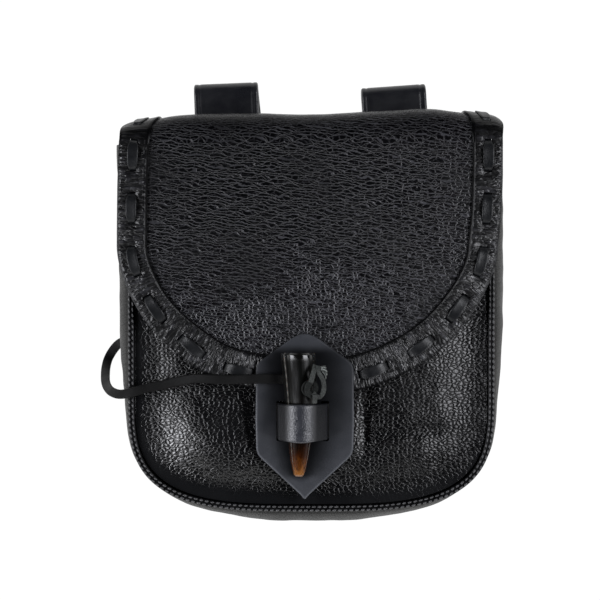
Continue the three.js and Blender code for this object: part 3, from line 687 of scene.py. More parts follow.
# Distance along the lace's line for each station, and so from the nearest slots
nearest = np.array([
    np.argmin(np.sum((lace_points - point) ** 2, axis=1))
    for point in move_inside(stations, tangents, LACE_INSET)[0]])
lace_distance = lace_along[nearest] - lace_lowest
from_stitch = np.min(np.abs(lace_distance[:, None] - np.array(stitch_middles)[None]), axis=1)
from_slot = np.abs(from_stitch - STITCH_LENGTH / 2)
over_lace = np.exp(-(((from_edge - LACE_INSET) / 2.6) ** 4))
beside_stitch = 1 - ease(from_stitch, STITCH_LENGTH / 2 - 1, STITCH_LENGTH / 2 + 4)
along = np.broadcast_to(lace_distance, from_edge.shape)
fine = slow_noise(along + 0.2 * from_edge, from_edge / 11, size=1.3, seed=2.2)
broad = slow_noise(along, from_edge / 1.6, size=3.2, seed=5.4)
height = PUCKER * fine * (0.4 + 0.9 * beside_stitch[None]) * (1 - 0.8 * over_lace)
height *= ease(widths[None] - from_edge, 1.2, 2.6) * ease(from_edge, 0.3, 1.5)
height += 0.16 * broad * (1 - 0.6 * beside_stitch[None])
# It sinks towards the slots and rises a little between two stitches
height -= 0.4 * over_lace * np.exp(-((from_slot / 2.4) ** 2))[None]
between_stitches = ease(from_stitch, STITCH_LENGTH / 2 + 1.5, STITCH_LENGTH / 2 + 4.5)
height += 0.35 * between_stitches[None] * np.exp(-(((from_edge - LACE_INSET) / 4) ** 2))
# The ridge along its inner edge, with a groove outside it, and the rounded outer edge
inner = widths[None] - from_edge
height += 0.22 * np.exp(-(((inner - 0.7) / 0.35) ** 2))
height -= 0.22 * np.exp(-(((inner - 1.6) / 0.4) ** 2))
height -= 0.5 * np.exp(-((inner / 0.3) ** 2))
height -= 0.22 * np.exp(-((from_edge / 0.5) ** 2))
smooth_corner = ease(stations[:, 1], 66, 76)
height = height * (1 - 0.7 * smooth_corner[None])
base = BODY_LEATHER + CLEARANCE * 0.5 + lowered_at(grid[..., 1])
lower = on_leather(grid[..., 0], grid[..., 1], base)
thick = BAND_LEATHER + CLEARANCE * 0.5 - 0.35 * smooth_corner[None]
upper = on_leather(grid[..., 0], grid[..., 1], base + thick + height)
cell_from_slot = 0.5 * (from_slot[1:] + from_slot[:-1])
cell_across = 0.5 * (from_edge[1:, 1:] + from_edge[:-1, :-1])
in_slot = cell_from_slot[None] < SLOT_LENGTH / 2
in_slot = in_slot & (np.abs(cell_across - LACE_INSET) < SLOT_WIDTH / 2)
corners, faces = grid_solid(lower, upper, ~in_slot)
flat = np.stack([np.broadcast_to(band_along[None], from_edge.shape), from_edge], axis=-1)
flat = np.vstack([flat.reshape(-1, 2)] * 2)


def band_leather_material():
    """Thin black leather whose grain is drawn into fine folds across the band."""
    nodes = Nodes("puckered_band_leather")
    place = nodes.add("UVMap", uv_map="along_and_across")
    moved = wander(nodes, place, 0.006, 0.0010)
    folds = nodes.add("Mapping", {"Vector": moved, "Scale": (1, 0.14, 1)})
    folds = nodes.remap(nodes.noise(folds, 720.0, 1.0), 0.42, 0.62)
    cells = nodes.add("Mapping", {"Vector": moved, "Scale": (1, 0.6, 1)})
    cells = nodes.add(
        "TexVoronoi", {"Vector": cells, "Scale": 520.0, "Randomness": 1.0}, feature="DISTANCE_TO_EDGE")
    cells = nodes.remap(cells, 0.0, 0.3)
    height = nodes.math("MULTIPLY_ADD", cells, 0.4, folds)
    amount = nodes.stored("grain")
    height = nodes.math("MULTIPLY", height, amount)
    # The crests of the folds are painted paler, as painted highlight, more strongly in patches
    painted_fold_highlight = nodes.remap(nodes.noise(place, 120.0, 2.0), 0.40, 0.62, 0.15, 1.0)
    tone = nodes.math("MULTIPLY", folds, painted_fold_highlight)
    tone = nodes.math("MULTIPLY", tone, nodes.math("MULTIPLY_ADD", cells, 0.5, 0.5))
    tone = nodes.math("MULTIPLY", tone, amount)
    return nodes.shade(
        specular_ior_level=nodes.remap(amount, 0.0, 1.0, 0.1, 0.6, "LINEAR"),
        base_color=nodes.mix(tone, (0.0006, 0.0006, 0.0008, 1), (0.042, 0.042, 0.047, 1)),
        roughness=nodes.remap(folds, 0.0, 1.0, 0.36, 0.28),
        normal=nodes.bump(height, 0.00032))


# The grain is pressed out along its edges and over the fold
edge_of_band = ease(inner, 0.8, 2.0) * ease(from_edge, 0.5, 1.6)
grain_here = (0.15 + 0.85 * edge_of_band) * (1 - 0.75 * smooth_corner[None])
grain_here = np.concatenate([grain_here.ravel()] * 2)
band = make_piece(
    "flap_band_leather", corners, faces, band_leather_material(), {"grain": grain_here}, flat, sharp=50)
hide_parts("flap_band")
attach(band, "root")

# ---------------------------------------------------------------- lace
# A smooth flat lace is woven through the flap and the band in long stitches. Between them
# it runs behind the flap.

LACE_WIDTH = 4.8
LACE_THICKNESS = 1.0
lace_over = BAND_OUTER + CLEARANCE + LACE_THICKNESS / 2
lace_behind = -CLEARANCE - LACE_THICKNESS / 2
half = STITCH_LENGTH / 2
distances, heights = [], []
for middle in stitch_middles:
    # A stitch over the fold is pulled flat
    flatter = 0.9 * ease(on_lace_line(middle)[0][1], 66, 76)
    into_slot = [
        (-half - 0.6, lace_behind), (-half - 0.3, lace_behind + 0.7), (-half - 0.18, 1.0),
        (-half, lace_over - 1.9), (-half + 0.7, lace_over - 0.8), (-half + 2.0, lace_over - 0.1)]
    into_slot = [(along, min(height, lace_over - flatter)) for along, height in into_slot]
    bow = 0.55 - flatter * 1.5
    over = [(-2.2, lace_over + bow - 0.1), (0, lace_over + bow), (2.2, lace_over + bow - 0.1)]
    out_of_slot = [(-along, height) for along, height in into_slot[::-1]]
    for along, height in into_slot + over + out_of_slot:
        distances.append(middle + along)
        heights.append(height)
at, side, away = lace_frames(distances, heights)
from_middle = np.min(np.abs(np.subtract.outer(distances, stitch_middles)), axis=1)
run = smooth_curve(np.column_stack([at, side, half - from_middle]), 1400)
across, up = frames_along(run[:, :3], run[:, 3:6])
# The slots pinch it together
pinched = 0.66 + 0.34 * ease(run[:, 6], -0.2, 3.6)
section = strip_section(LACE_WIDTH, LACE_THICKNESS, edge=0.42, cup=0.1)
corners, faces = sweep(run[:, :3], across, up, section, pinched)
lace_leather = smooth_leather(
    "lace_leather", (0.004, 0.0046, 0.0056, 1), (0.008, 0.0087, 0.010, 1),
    roughness=0.36, depth=0.00006, gloss=0.4)
lace = make_piece("flap_lace_strip", corners, faces, lace_leather, sharp=60)
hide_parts("flap_lace")
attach(lace, "root")

# ---------------------------------------------------------------- front panel
# The pebble-grained front of the pouch. It is pressed flat along the seam, swells out over
# what the pouch holds, and is dented where it has been used.

PANEL_MOUTH = 66
PANEL_HIDDEN_TO = 14
WELT_WIDTH = 3
PANEL_EDGE = 43.4
PANEL_RISE = 5.4
PANEL_RISE_OVER = 14
PANEL_REACH = 60
# Soft dents and swells: middle, half-widths, height, and the turn of its long side. What
# lies on the panel follows only the first six.
PANEL_MAIN_DENTS = 6
PANEL_DENTS = [
    dict(x=-45, y=-68, wide=22, tall=20, lift=3.2, turn=0),
    dict(x=-36, y=-54, wide=9, tall=11, lift=-0.9, turn=0),
    dict(x=-26, y=-76, wide=9, tall=5, lift=0.9, turn=0),
    dict(x=24, y=-56, wide=3, tall=15, lift=-1.8, turn=0),
    dict(x=52, y=-57, wide=22, tall=3.5, lift=-1.5, turn=0),
    dict(x=50, y=-72, wide=18, tall=8, lift=1, turn=0),
    dict(x=-25, y=-54, wide=4.5, tall=15, lift=-1.2, turn=0),
    dict(x=-30, y=-68, wide=9, tall=1.3, lift=0.55, turn=38),
    dict(x=-27, y=-73, wide=8, tall=1.3, lift=0.5, turn=38),
    dict(x=-47, y=-46, wide=7, tall=1.2, lift=-0.4, turn=-50),
    dict(x=-50, y=-62, wide=10, tall=1.2, lift=-0.35, turn=-35),
]


def panel_face(x, y, details=False):
    """Height of the panel's face, and about how far a place is inside its flat edge."""
    across = np.abs(x) / (HALF_WIDTH - WELT_WIDTH)
    down = np.maximum(CORNER_START - y, 0) / (CORNER_DEPTH - WELT_WIDTH)
    out = np.minimum((across**CORNER_POWER + down**CORNER_POWER) ** (1 / CORNER_POWER), 1)
    low = down**CORNER_POWER / (across**CORNER_POWER + down**CORNER_POWER + 1e-9)
    pressed = 1 + 2.5 * low - 0.8 * ease(x, 0, 50) * (1 - low)
    from_seam = np.maximum((1 - out) * PANEL_REACH - pressed, 0)
    over = PANEL_RISE_OVER + 1.5 * ease(x, 0, 50) + low
    inside = 1 - np.exp(-((from_seam / over) ** 2.2))
    left = 1 - 0.6 * ease(y, PANEL_MOUTH - 50, PANEL_MOUTH)
    dents = np.zeros_like(out)
    for dent in PANEL_DENTS if details else PANEL_DENTS[:PANEL_MAIN_DENTS]:
        turn = np.radians(dent["turn"])
        along = (x - dent["x"]) * np.cos(turn) + (y - dent["y"]) * np.sin(turn)
        beside = (y - dent["y"]) * np.cos(turn) - (x - dent["x"]) * np.sin(turn)
        dents += dent["lift"] * np.exp(-((along / dent["wide"]) ** 2) - (beside / dent["tall"]) ** 2)
    return PANEL_EDGE + (PANEL_RISE * left + dents) * inside, from_seam


inset = WELT_WIDTH + CLEARANCE
share = np.linspace(-1, 1, 171)
parts = 0.2 * share + 0.8 * np.sin(share * np.pi / 2)
bottom = seam_bottom(parts, inset)
# The rows are far apart where the flap hides the panel, and closest near the seam
hidden = between(PANEL_MOUTH, PANEL_HIDDEN_TO, 22, len(parts))
rows = np.linspace(0, 1, 130)[:, None]
rows = 0.35 * rows + 0.65 * np.sin(rows * np.pi / 2)
y = np.vstack([hidden, PANEL_HIDDEN_TO + (bottom - PANEL_HIDDEN_TO) * rows])
x = np.broadcast_to(parts * (HALF_WIDTH - inset), y.shape)
face, inside = panel_face(x, y, details=True)
bumps = 0.42 * slow_noise(x, y, size=14, seed=1.3)
bumps += 0.22 * slow_noise(x, y, size=6.5, seed=9.1)
bumps += 0.10 * slow_noise(x, y, size=3.4, seed=4.4)
face = face + bumps * ease(inside, 2, 10)
upper = np.stack([x, y, face], axis=-1)
lower = upper - (0, 0, BODY_LEATHER)
corners, faces = grid_solid(lower, upper)
flat = np.vstack([np.stack([x, y], axis=-1).reshape(-1, 2)] * 2)
# Its creases are painted darker than its pebbles, as painted shade
panel_leather = pebbled_leather(
    "pebbled_panel_leather", (0.0012, 0.0012, 0.0017, 1), (0.0004, 0.0004, 0.0006, 1),
    roughness=0.25, pebble=0.00172, depth=0.000185, polished=True, stretch=(0.8, 1.25, 1))


def soft_spot(x, y, middle, half_sizes):
    """1 in the middle of a spot, fading out over its half-width and half-height."""
    return np.exp(-(((x - middle[0]) / half_sizes[0]) ** 2) - ((y - middle[1]) / half_sizes[1]) ** 2)


# The grain is pressed out along the seam, flattened in the dent at the left, and has a
# polished spot beside it
reach = 4.2 + 3.4 * ease(-x, 0, 40) + 5 * ease(-y, 60, 90)
inwards = inside + 2.0 + 0.6 * ease(x, 0, 50) + 1.7 * slow_noise(x, y, size=3, seed=6.6)
grain_here = 0.05 + 0.95 * ease(inwards, 0.4, reach)
grain_here = grain_here * (1 - 0.42 * soft_spot(x, y, (-37, -54), (11, 16)))
polish = soft_spot(x, y, (-60, -68), (11, 18))
values = {"grain": grain_here, "polish": polish}
values = {name: np.concatenate([value.ravel()] * 2) for name, value in values.items()}
panel = make_piece("front_panel_leather", corners, faces, panel_leather, values, flat, sharp=50)
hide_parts("front_panel")
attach(panel, "root")

# ---------------------------------------------------------------- gusset
# A long strip makes the sides and the bottom. It is sewn to the back and to the front
# panel and swells out between the two seams.

GUSSET_TOP = 70
GUSSET_LEATHER = 1.6
WELT_LOW = 42.6
GUSSET_SWELL = dict(
    corner=0.7, side=4.4, side_low=1.4, bottom=5.3, bottom_side=3.3, focus=8, round=0.7)
GUSSET_HOLE = dict(y=-18.6, z=14.2, radius=2.6)


def seam_line(count, top, inset=0.0):
    """The body's seam from the left end of the mouth round the bottom to the right end."""
    part = np.sin(np.pi * np.linspace(-0.5, 0.5, 401))
    bottom_line = np.stack([part * HALF_WIDTH, seam_bottom(part)], axis=1)
    line = np.vstack([(-HALF_WIDTH, top), bottom_line, (HALF_WIDTH, top)])
    points, tangents, along = evenly(line, count)
    moved, inward = move_inside(points, tangents, inset)
    return moved, inward, along


points, inward, along = seam_line(440, GUSSET_TOP)
side_loss = GUSSET_SWELL["side"] - GUSSET_SWELL["side_low"]
at_side = GUSSET_SWELL["side"] - side_loss * ease(-points[:, 1], 10, 58)
bottom_loss = GUSSET_SWELL["bottom"] - GUSSET_SWELL["bottom_side"]
at_bottom = GUSSET_SWELL["bottom"] - bottom_loss * ease(np.abs(points[:, 0]), 12, 45)
swell = GUSSET_SWELL["corner"] + at_side * inward[:, 0] ** GUSSET_SWELL["focus"]
swell = swell + at_bottom * inward[:, 1] ** GUSSET_SWELL["focus"]
# It stands out a little farther at the upper left
swell = swell + 1.2 * ease(points[:, 1], 48, 66) * (points[:, 0] < 0)
low = back_rear(points[:, 1]) + BODY_LEATHER + CLEARANCE
up_share = np.linspace(0, 1, 31)[:, None]
bulge = np.sin(np.pi * up_share)
height = low[None] + (WELT_LOW - 0.1 - low[None]) * up_share
along = np.broadcast_to(along, height.shape)
folds = slow_noise(along, height / 2.2, size=9, seed=6.2)
folds += 0.5 * slow_noise(along, height, size=5, seed=8.8)
out = swell[None] * bulge ** GUSSET_SWELL["round"] + 0.3 * folds * bulge
flat_out = points[None] - inward[None] * out[..., None]
flat_in = flat_out + inward[None] * GUSSET_LEATHER
outer = np.concatenate([flat_out, height[..., None]], axis=-1)
inner = np.concatenate([flat_in, height[..., None]], axis=-1)
corners, faces = grid_solid(inner, outer)
flat = np.vstack([np.stack([along, height], axis=-1).reshape(-1, 2)] * 2)
# It is drawn everywhere, into lines that run up its height
# Its creases are painted darker than its pebbles, as painted shade
gusset_leather = pebbled_leather(
    "gusset_leather", (0.019, 0.019, 0.018, 1), (0.003, 0.003, 0.003, 1),
    roughness=0.48, pebble=0.0012, depth=0.00020, gloss=0.2, drawn=(-1, -0.9), drawn_lean=5)
gusset = make_piece("gusset_leather_strip", corners, faces, gusset_leather, flat=flat, sharp=50)


def circle(radius, count):
    """An outline of points on a circle."""
    turn = np.linspace(0, 2 * np.pi, count, endpoint=False)
    return np.stack([np.cos(turn), np.sin(turn)], axis=1) * radius


def straight_tool(start, end, across, up, outline):
    """A straight bar with an outline, to cut with."""
    path, across, up = np.array([[start, end], [across] * 2, [up] * 2], float)
    return sweep(path, across, up, outline)


inside, outside = [(-HALF_WIDTH + s, GUSSET_HOLE["y"], GUSSET_HOLE["z"]) for s in (9, -9)]
hole = circle(GUSSET_HOLE["radius"], 24)
cut_away(gusset, [straight_tool(inside, outside, (0, 1, 0), (0, 0, 1), hole)], sharp=50)
store(gusset.data, "grain", 1)
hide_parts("gusset")
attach(gusset, "root")

# ---------------------------------------------------------------- front welt
# The front seam: gusset and panel meet in a raised welt, sewn through with two rows of
# thick black thread.

WELT_TOP = 45.2
points, inward, _ = seam_line(420, PANEL_MOUTH, WELT_WIDTH / 2)
path = np.column_stack([points, np.full(len(points), (WELT_LOW + WELT_TOP) / 2)])
across = np.column_stack([inward, np.zeros(len(points))])
up = np.broadcast_to([0.0, 0.0, 1.0], across.shape)
w, h = WELT_WIDTH / 2, (WELT_TOP - WELT_LOW) / 2
turn = np.linspace(0, np.pi, 11)
# Its top is round, with a groove between the two rows of stitches
top_x = w * np.cos(turn)
top_z = h * (0.2 + 0.8 * np.sin(turn) ** 0.7) - 0.35 * np.exp(-((top_x / 0.4) ** 2))
section = np.vstack([[-w, -h], [w, -h], np.stack([top_x, top_z], axis=1)])
corners, faces = sweep(path, across, up, section)
welt_leather = smooth_leather(
    "welt_leather", (0.0015, 0.0015, 0.0018, 1), (0.003, 0.003, 0.0034, 1),
    roughness=0.35, depth=0.00003, gloss=0.2)
welt = make_piece("front_welt_strip", corners, faces, welt_leather, sharp=60)


def thread_material():
    """Waxed black thread, uneven where its strands twist."""
    nodes = Nodes("waxed_black_thread")
    place = nodes.add("TexCoord", output=3)
    strands = nodes.noise(place, 2600.0, 2.0)
    tone = nodes.mix(strands, (0.037, 0.037, 0.038, 1), (0.10, 0.10, 0.104, 1))
    return nodes.shade(base_color=tone, roughness=0.4, normal=nodes.bump(strands, 0.00006))


def stitch_row_tree():
    """Stitches set at even distances along lines, turned to the surface's own direction."""
    tree = bpy.data.node_groups.new("row_of_stitches", "GeometryNodeTree")
    sockets = {"Line": "Geometry", "Pitch": "Float", "Length": "Float", "Width": "Float"}
    sockets |= {"Height": "Float", "Slant": "Float", "Thread": "Material"}
    for name, kind in sockets.items():
        tree.interface.new_socket(name, in_out="INPUT", socket_type="NodeSocket" + kind)
    tree.interface.new_socket("Stitches", in_out="OUTPUT", socket_type="NodeSocketGeometry")

    def add(kind, inputs=None, **settings):
        node = tree.nodes.new(kind)
        for key, value in settings.items():
            setattr(node, key, value)
        for key, value in (inputs or {}).items():
            if isinstance(value, bpy.types.NodeSocket):
                tree.links.new(value, node.inputs[key])
            else:
                node.inputs[key].default_value = value
        return node

    given = add("NodeGroupInput").outputs
    line = add("GeometryNodeMeshToCurve", {"Mesh": given["Line"]})
    line = add(
        "GeometryNodeResampleCurve", {"Curve": line.outputs[0], "Length": given["Pitch"]}, mode="LENGTH")
    away = add("GeometryNodeInputNamedAttribute", {"Name": "away"}, data_type="FLOAT_VECTOR")
    tangent = add("GeometryNodeInputTangent")
    turn = add(
        "FunctionNodeAxesToRotation", {0: away.outputs[0], 1: tangent.outputs[0]},
        primary_axis="Z", secondary_axis="X")
    size = add("ShaderNodeCombineXYZ", {0: given["Length"], 1: given["Width"], 2: given["Height"]})
    ball = add("GeometryNodeMeshUVSphere", {"Segments": 10, "Rings": 7, "Radius": 0.5})
    lean = add("ShaderNodeCombineXYZ", {2: given["Slant"]})
    thread = add("GeometryNodeTransform", {"Geometry": ball.outputs[0], "Scale": size.outputs[0]})
    thread = add("GeometryNodeTransform", {"Geometry": thread.outputs[0], "Rotation": lean.outputs[0]})
    vary = add(
        "FunctionNodeRandomValue", {"Min": (0.94, 0.88, 0.85), "Max": (1.04, 1.1, 1.1), "Seed": 7},
        data_type="FLOAT_VECTOR")
    rows = add("GeometryNodeInstanceOnPoints", {
        "Points": line.outputs[0], "Instance": thread.outputs[0],
        "Rotation": turn.outputs[0], "Scale": vary.outputs[0]})
    rows = add("GeometryNodeRealizeInstances", {"Geometry": rows.outputs[0]})
    rows = add("GeometryNodeSetShadeSmooth", {"Geometry": rows.outputs[0]})
    rows = add("GeometryNodeSetMaterial", {"Geometry": rows.outputs[0], "Material": given["Thread"]})
    add("NodeGroupOutput", {"Stitches": rows.outputs[0]})
    return tree


black_thread = thread_material()
stitch_rows = stitch_row_tree()


def sew(name, lines, aways, pitch, length, width, height, slant=0.0):
    """A piece of stitches along lines, with the direction that each line faces."""
    mesh = bpy.data.meshes.new(name)
    points = np.vstack(lines) * MM
    edges, first = [], 0
    for line in lines:
        edges += [(first + i, first + i + 1) for i in range(len(line) - 1)]
        first += len(line)
    mesh.from_pydata(points.tolist(), edges, [])
    facing = mesh.attributes.new("away", "FLOAT_VECTOR", "POINT")
    facing.data.foreach_set("vector", np.vstack(aways).astype(np.float32).ravel())
    piece = bpy.data.objects.new(name, mesh)
    bpy.context.scene.collection.objects.link(piece)
    rows = piece.modifiers.new("stitches", "NODES")
    rows.node_group = stitch_rows
    values = {"Pitch": pitch * MM, "Length": length * MM, "Width": width * MM}
    values |= {"Height": height * MM, "Slant": slant, "Thread": black_thread}
    for socket in stitch_rows.interface.items_tree:
        if socket.in_out == "INPUT" and socket.name in values:
            rows[socket.identifier] = values[socket.name]
    graph = bpy.context.evaluated_depsgraph_get()
    made = bpy.data.meshes.new_from_object(piece.evaluated_get(graph))
    piece.modifiers.clear()
    piece.data = made
    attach(piece, "root")
    return piece


# The outer row stops a little short at the right end, and the inner one at the left end
ROW_FROM_MIDDLE = 0.75
lines, aways = [], []
for side in (-1, 1):
    points = seam_line(600, PANEL_MOUTH, WELT_WIDTH / 2 + side * ROW_FROM_MIDDLE)[0]
    points = points[3:] if side > 0 else points[:-3]
    lines.append(np.column_stack([points, np.full(len(points), WELT_TOP - 0.05)]))
    aways.append(np.tile([0.0, 0.0, 1.0], (len(points), 1)))
sew("welt_stitches", lines, aways, pitch=2.5, length=1.9, width=0.95, height=1.2, slant=0.14)
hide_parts("front_welt")
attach(welt, "root")

# The back seam is sewn in the same way, along the edge of the back
BACK_SEAM_TOP = 62
BACK_SEAM_INSET = 2.6
points = seam_line(600, BACK_SEAM_TOP, BACK_SEAM_INSET)[0]
rear = np.column_stack([points, back_rear(points[:, 1]) + 0.02])
slope = (back_rear(points[:, 1] + 0.1) - back_rear(points[:, 1] - 0.1)) / 0.2
facing = unit(np.column_stack([np.zeros(len(points)), slope, -np.ones(len(points))]))
sew("back_seam_stitches", [rear], [facing], pitch=3.4, length=2.7, width=0.95, height=0.7)

# ---------------------------------------------------------------- closure patch
# A six-sided patch of thick smooth leather with bevelled edges, fixed to the flap. Its two
# slits let the loop through.

PATCH_MIDDLE = -2.9
PATCH_BEND = -40
PATCH_SLOPE = 0.164
PATCH_LEATHER = 2.0
PATCH_BEVEL = 0.75
PATCH_OUTLINE = dict(
    y=(-14.2, -14.9, -16.6, -25.8, -27.2, -29.4, -40, -52, -65, -67.4, -69.4, -85, -86.4, -87),
    half=(1.2, 3.4, 6.4, 19, 20.6, 21.3, 21.4, 21.6, 21.3, 20.6, 18.8, 2.1, 0.9, 0.4),
)
SLITS = dict(span=19.8, width=3.2, length=17.6)
LOOP_MIDDLE = (-3.8, -52.4)
patch_level = flap_inner(PATCH_MIDDLE, PATCH_BEND) + BAND_OUTER + CLEARANCE


def patch_under(y):
    """Height of the patch's underside, which slopes down below the flap's edge."""
    return patch_level - PATCH_SLOPE * np.maximum(PATCH_BEND - y, 0)


# A grid whose rows and columns are closer together towards the patch's edges
outline_y = np.array(PATCH_OUTLINE["y"], float)
outline_half = np.array(PATCH_OUTLINE["half"], float)
row_y = np.concatenate([
    np.linspace(outline_y[0], -15.4, 7), np.linspace(-15.7, -86, 170),
    np.linspace(-86.2, outline_y[-1], 5)])
step_in = np.array([0, 0.08, 0.22, 0.42, 0.75, 1.2])
row_x = []
for half in np.interp(-row_y, -outline_y, outline_half):
    steps = step_in * min(1, half / 2.6)
    middle = np.linspace(-1, 1, 43) * (half - steps[-1])
    row_x.append(np.concatenate([-half + steps[:-1], middle, half - steps[:-1][::-1]]))
x = np.array(row_x)
y = np.broadcast_to(row_y[:, None], x.shape)

# Each place's distance from the nearest of the outline's sides
starts = np.column_stack([
    np.append(outline_half, -outline_half[::-1]), np.append(outline_y, outline_y[::-1])])
sides = np.roll(starts, -1, axis=0) - starts
from_start = np.stack([x, y], axis=-1)[:, :, None, :] - starts
along = np.clip(np.sum(from_start * sides, axis=-1) / np.sum(sides**2, axis=-1), 0, 1)
beside = np.linalg.norm(from_start - along[..., None] * sides, axis=-1)
edge_distance = np.min(beside, axis=-1)
in_bevel = np.clip(1 - edge_distance / PATCH_BEVEL, 0, 1)
drop = 0.12 + 0.9 * PATCH_BEVEL * (1 - np.sqrt(1 - in_bevel**2))
crown = 0.125 * np.exp(-((x / 16) ** 4))
upper = np.stack([x + PATCH_MIDDLE, y, patch_under(y) + PATCH_LEATHER - drop + crown], axis=-1)
lower = np.stack([x + PATCH_MIDDLE, y, patch_under(y)], axis=-1)
corners, faces = grid_solid(lower, upper)
patch_leather = smooth_leather(
    "smooth_patch_leather", (0.031, 0.0335, 0.040, 1), (0.039, 0.0415, 0.049, 1),
    roughness=0.50, depth=0.00003, gloss=0.4, shaded=True)

# Round the toggle the leather is painted darker, as painted shadow of the toggle and its loop,
# reaching farther out on its right. Lower down its bevelled edge is painted pale, as painted highlight.
below = -y
middle = np.interp(below, (22, 44, 76), (-5.2, -4.2, -5.2))
half = np.interp(below, (22, 44, 62, 76, 79), (7.5, 6.5, 5, 2, 0.5))
off_toggle = np.maximum(np.abs(x + PATCH_MIDDLE - middle) - half, 0)
reach = np.interp(below, (16, 22, 44, 62, 76, 80), (2, 11, 11, 6, 4, 1))
reach = reach * np.where(x + PATCH_MIDDLE > -5, 1.25, 1)
painted_toggle_shadow = np.exp(-((off_toggle / reach) ** 2)) * ease(below, 18, 23) * (1 - ease(below, 76, 80))
wear_and_painted_highlight = np.exp(-(((edge_distance - 0.45) / 0.35) ** 2)) * ease(below, 30, 50)
shade = np.concatenate([(1 - 0.85 * painted_toggle_shadow + 0.8 * wear_and_painted_highlight).ravel()] * 2)
patch = make_piece("closure_patch_leather", corners, faces, patch_leather, {"shade": shade}, sharp=60)


def rounded(value, power):
    """A sine or cosine bent so that a circle becomes a rectangle with round corners."""
    return np.sign(value) * np.abs(value) ** power


cos, sin = circle(1, 40).T
slit = np.stack([SLITS["width"] * rounded(cos, 0.25), SLITS["length"] * rounded(sin, 0.15)], axis=1) / 2
slit_tools = []
for side in (-1, 1):
    at = (LOOP_MIDDLE[0] + side * SLITS["span"] / 2, LOOP_MIDDLE[1])
    start, end = (*at, patch_level - 12), (*at, patch_level + 9)
    slit_tools.append(straight_tool(start, end, (1, 0, 0), (0, 1, 0), slit))
cut_away(patch, slit_tools, sharp=60)
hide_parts("closure_patch")
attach(patch, "root")

# ---------------------------------------------------------------- closure loop
# A strap of the same leather is sewn to the front panel, comes up through the slits and
# holds the toggle.

LOOP_WIDTH = 16
LOOP_LEATHER = 2.0
LOOP_SPAN = 19.6
LOOP_FOOT = 7
LOOP_TOP = 70.9
LOOP_TILT = 0.12
LOOP_OVER = -0.9  # from its middle to the top of the arch
LOOP_ROUND = 7.8
half = LOOP_SPAN / 2
# Both feet lie on the panel at the level of the higher one
foot_middles = LOOP_MIDDLE[0] + np.array([-1, 1]) * (half + LOOP_FOOT / 2)
foot_level = panel_face(foot_middles, LOOP_MIDDLE[1] + LOOP_WIDTH / 3)[0].max()
foot_level += 2 * CLEARANCE + LOOP_LEATHER / 2
shoulder = LOOP_TOP - half
# It lies round the toggle and then goes straight down to both slits
lean = np.radians(54)
over_toggle = [
    (LOOP_OVER + LOOP_ROUND * np.sin(a), LOOP_TOP - LOOP_ROUND * (1 - np.cos(a)))
    for a in np.linspace(-lean, lean, 25)]
sides = []
for side, (x, z) in ((-1, over_toggle[0]), (1, over_toggle[-1])):
    run = half - side * x
    bend = z - (run - 0.6) * np.tan(lean)
    down = [(half - 0.6, bend), (half, bend - 1.6), (half, foot_level + 3.4)]
    down += [(half + 0.3, foot_level + 1.4), (half + 1.6, foot_level + 0.2)]
    down += [(half + 3.4, foot_level), (half + LOOP_FOOT, foot_level)]
    sides.append([(side * out, height) for out, height in down])
arch = sides[1][::-1] + over_toggle[::-1] + sides[0]
path = smooth_curve([(LOOP_MIDDLE[0] + x, LOOP_MIDDLE[1], z) for x, z in arch], 170)
tilt = LOOP_TILT * ease(path[:, 2], shoulder, LOOP_TOP)
across, up = frames_along(path, np.column_stack([np.zeros_like(tilt), np.ones_like(tilt), tilt]))
section = strip_section(LOOP_WIDTH, LOOP_LEATHER, edge=0.7, crease=0.10, crease_from_edge=1.5)
corners, faces = sweep(path, across, up, section)
loop_leather = smooth_leather(
    "smooth_loop_leather", (0.021, 0.0227, 0.029, 1), (0.029, 0.0312, 0.039, 1),
    roughness=0.34, depth=0.00019, gloss=0.8, shaded=True, pore=0.0007)
# Its lower edge is cut in a slight curve
off_middle = np.abs(corners[:, 0] - LOOP_MIDDLE[0] - LOOP_OVER)
corners[:, 1] -= 0.8 * (1 - ease(off_middle, 0, 10)) * ease(LOOP_MIDDLE[1] - corners[:, 1], 3, 8)
# Its sides, where it turns down, are painted darker, as painted shade
shade = 1 - 0.72 * ease(off_middle, 4.0, 7.5)
loop = make_piece("closure_loop_strap", corners, faces, loop_leather, {"shade": shade}, sharp=60)
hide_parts("closure_loop")
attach(loop, "root")

# ---------------------------------------------------------------- toggle
# A carved and polished piece of horn, nearly black at its thick end and amber at its tip,
# with a slanting hole for the thong.

TOGGLE_SECTIONS = dict(
    y=(-22.3, -23.2, -31, -43, -52, -62.5, -69, -73.3, -75.7, -76.4),
    x=(-5.2, -5.2, -4.6, -4.1, -4.2, -4.7, -5, -5.2, -5.3, -5.3),
    z=(65.5, 65.6, 65.3, 64.9, 63.3, 61.2, 59.9, 58.9, 58.3, 58.1),
    half=(6.5, 7.1, 6.8, 6.3, 5.5, 4.4, 3.5, 2.6, 2.0, 1.4),
)
TOGGLE_FACETS = (112, 68, 24, -22, -70, -115, 158)  # directions, in degrees
TOGGLE_RIDGE = 168
RIDGE_SHARPNESS = 12
THONG_HOLE = dict(x=-4.5, y=-34, z=65.2, radius=2.6, slant=40)
section_y = np.array(TOGGLE_SECTIONS["y"], float)
y = np.concatenate([
    np.linspace(section_y[0], section_y[1], 6), np.linspace(-23.6, -73, 110),
    np.linspace(-73.4, section_y[-1], 12)])
# Its middle stretch is smoothed, and both ends keep their own shape
blend = ease(-y, 24, 27) * (1 - ease(-y, 70, 73))
columns = []
for name in ("x", "z", "half"):
    column = np.interp(-y, -section_y, np.array(TOGGLE_SECTIONS[name], float))
    smoothed = np.convolve(np.pad(column, 4, mode="edge"), np.ones(9) / 9, mode="valid")
    columns.append(column * (1 - blend) + smoothed * blend)
middle_x, middle_z, half = columns
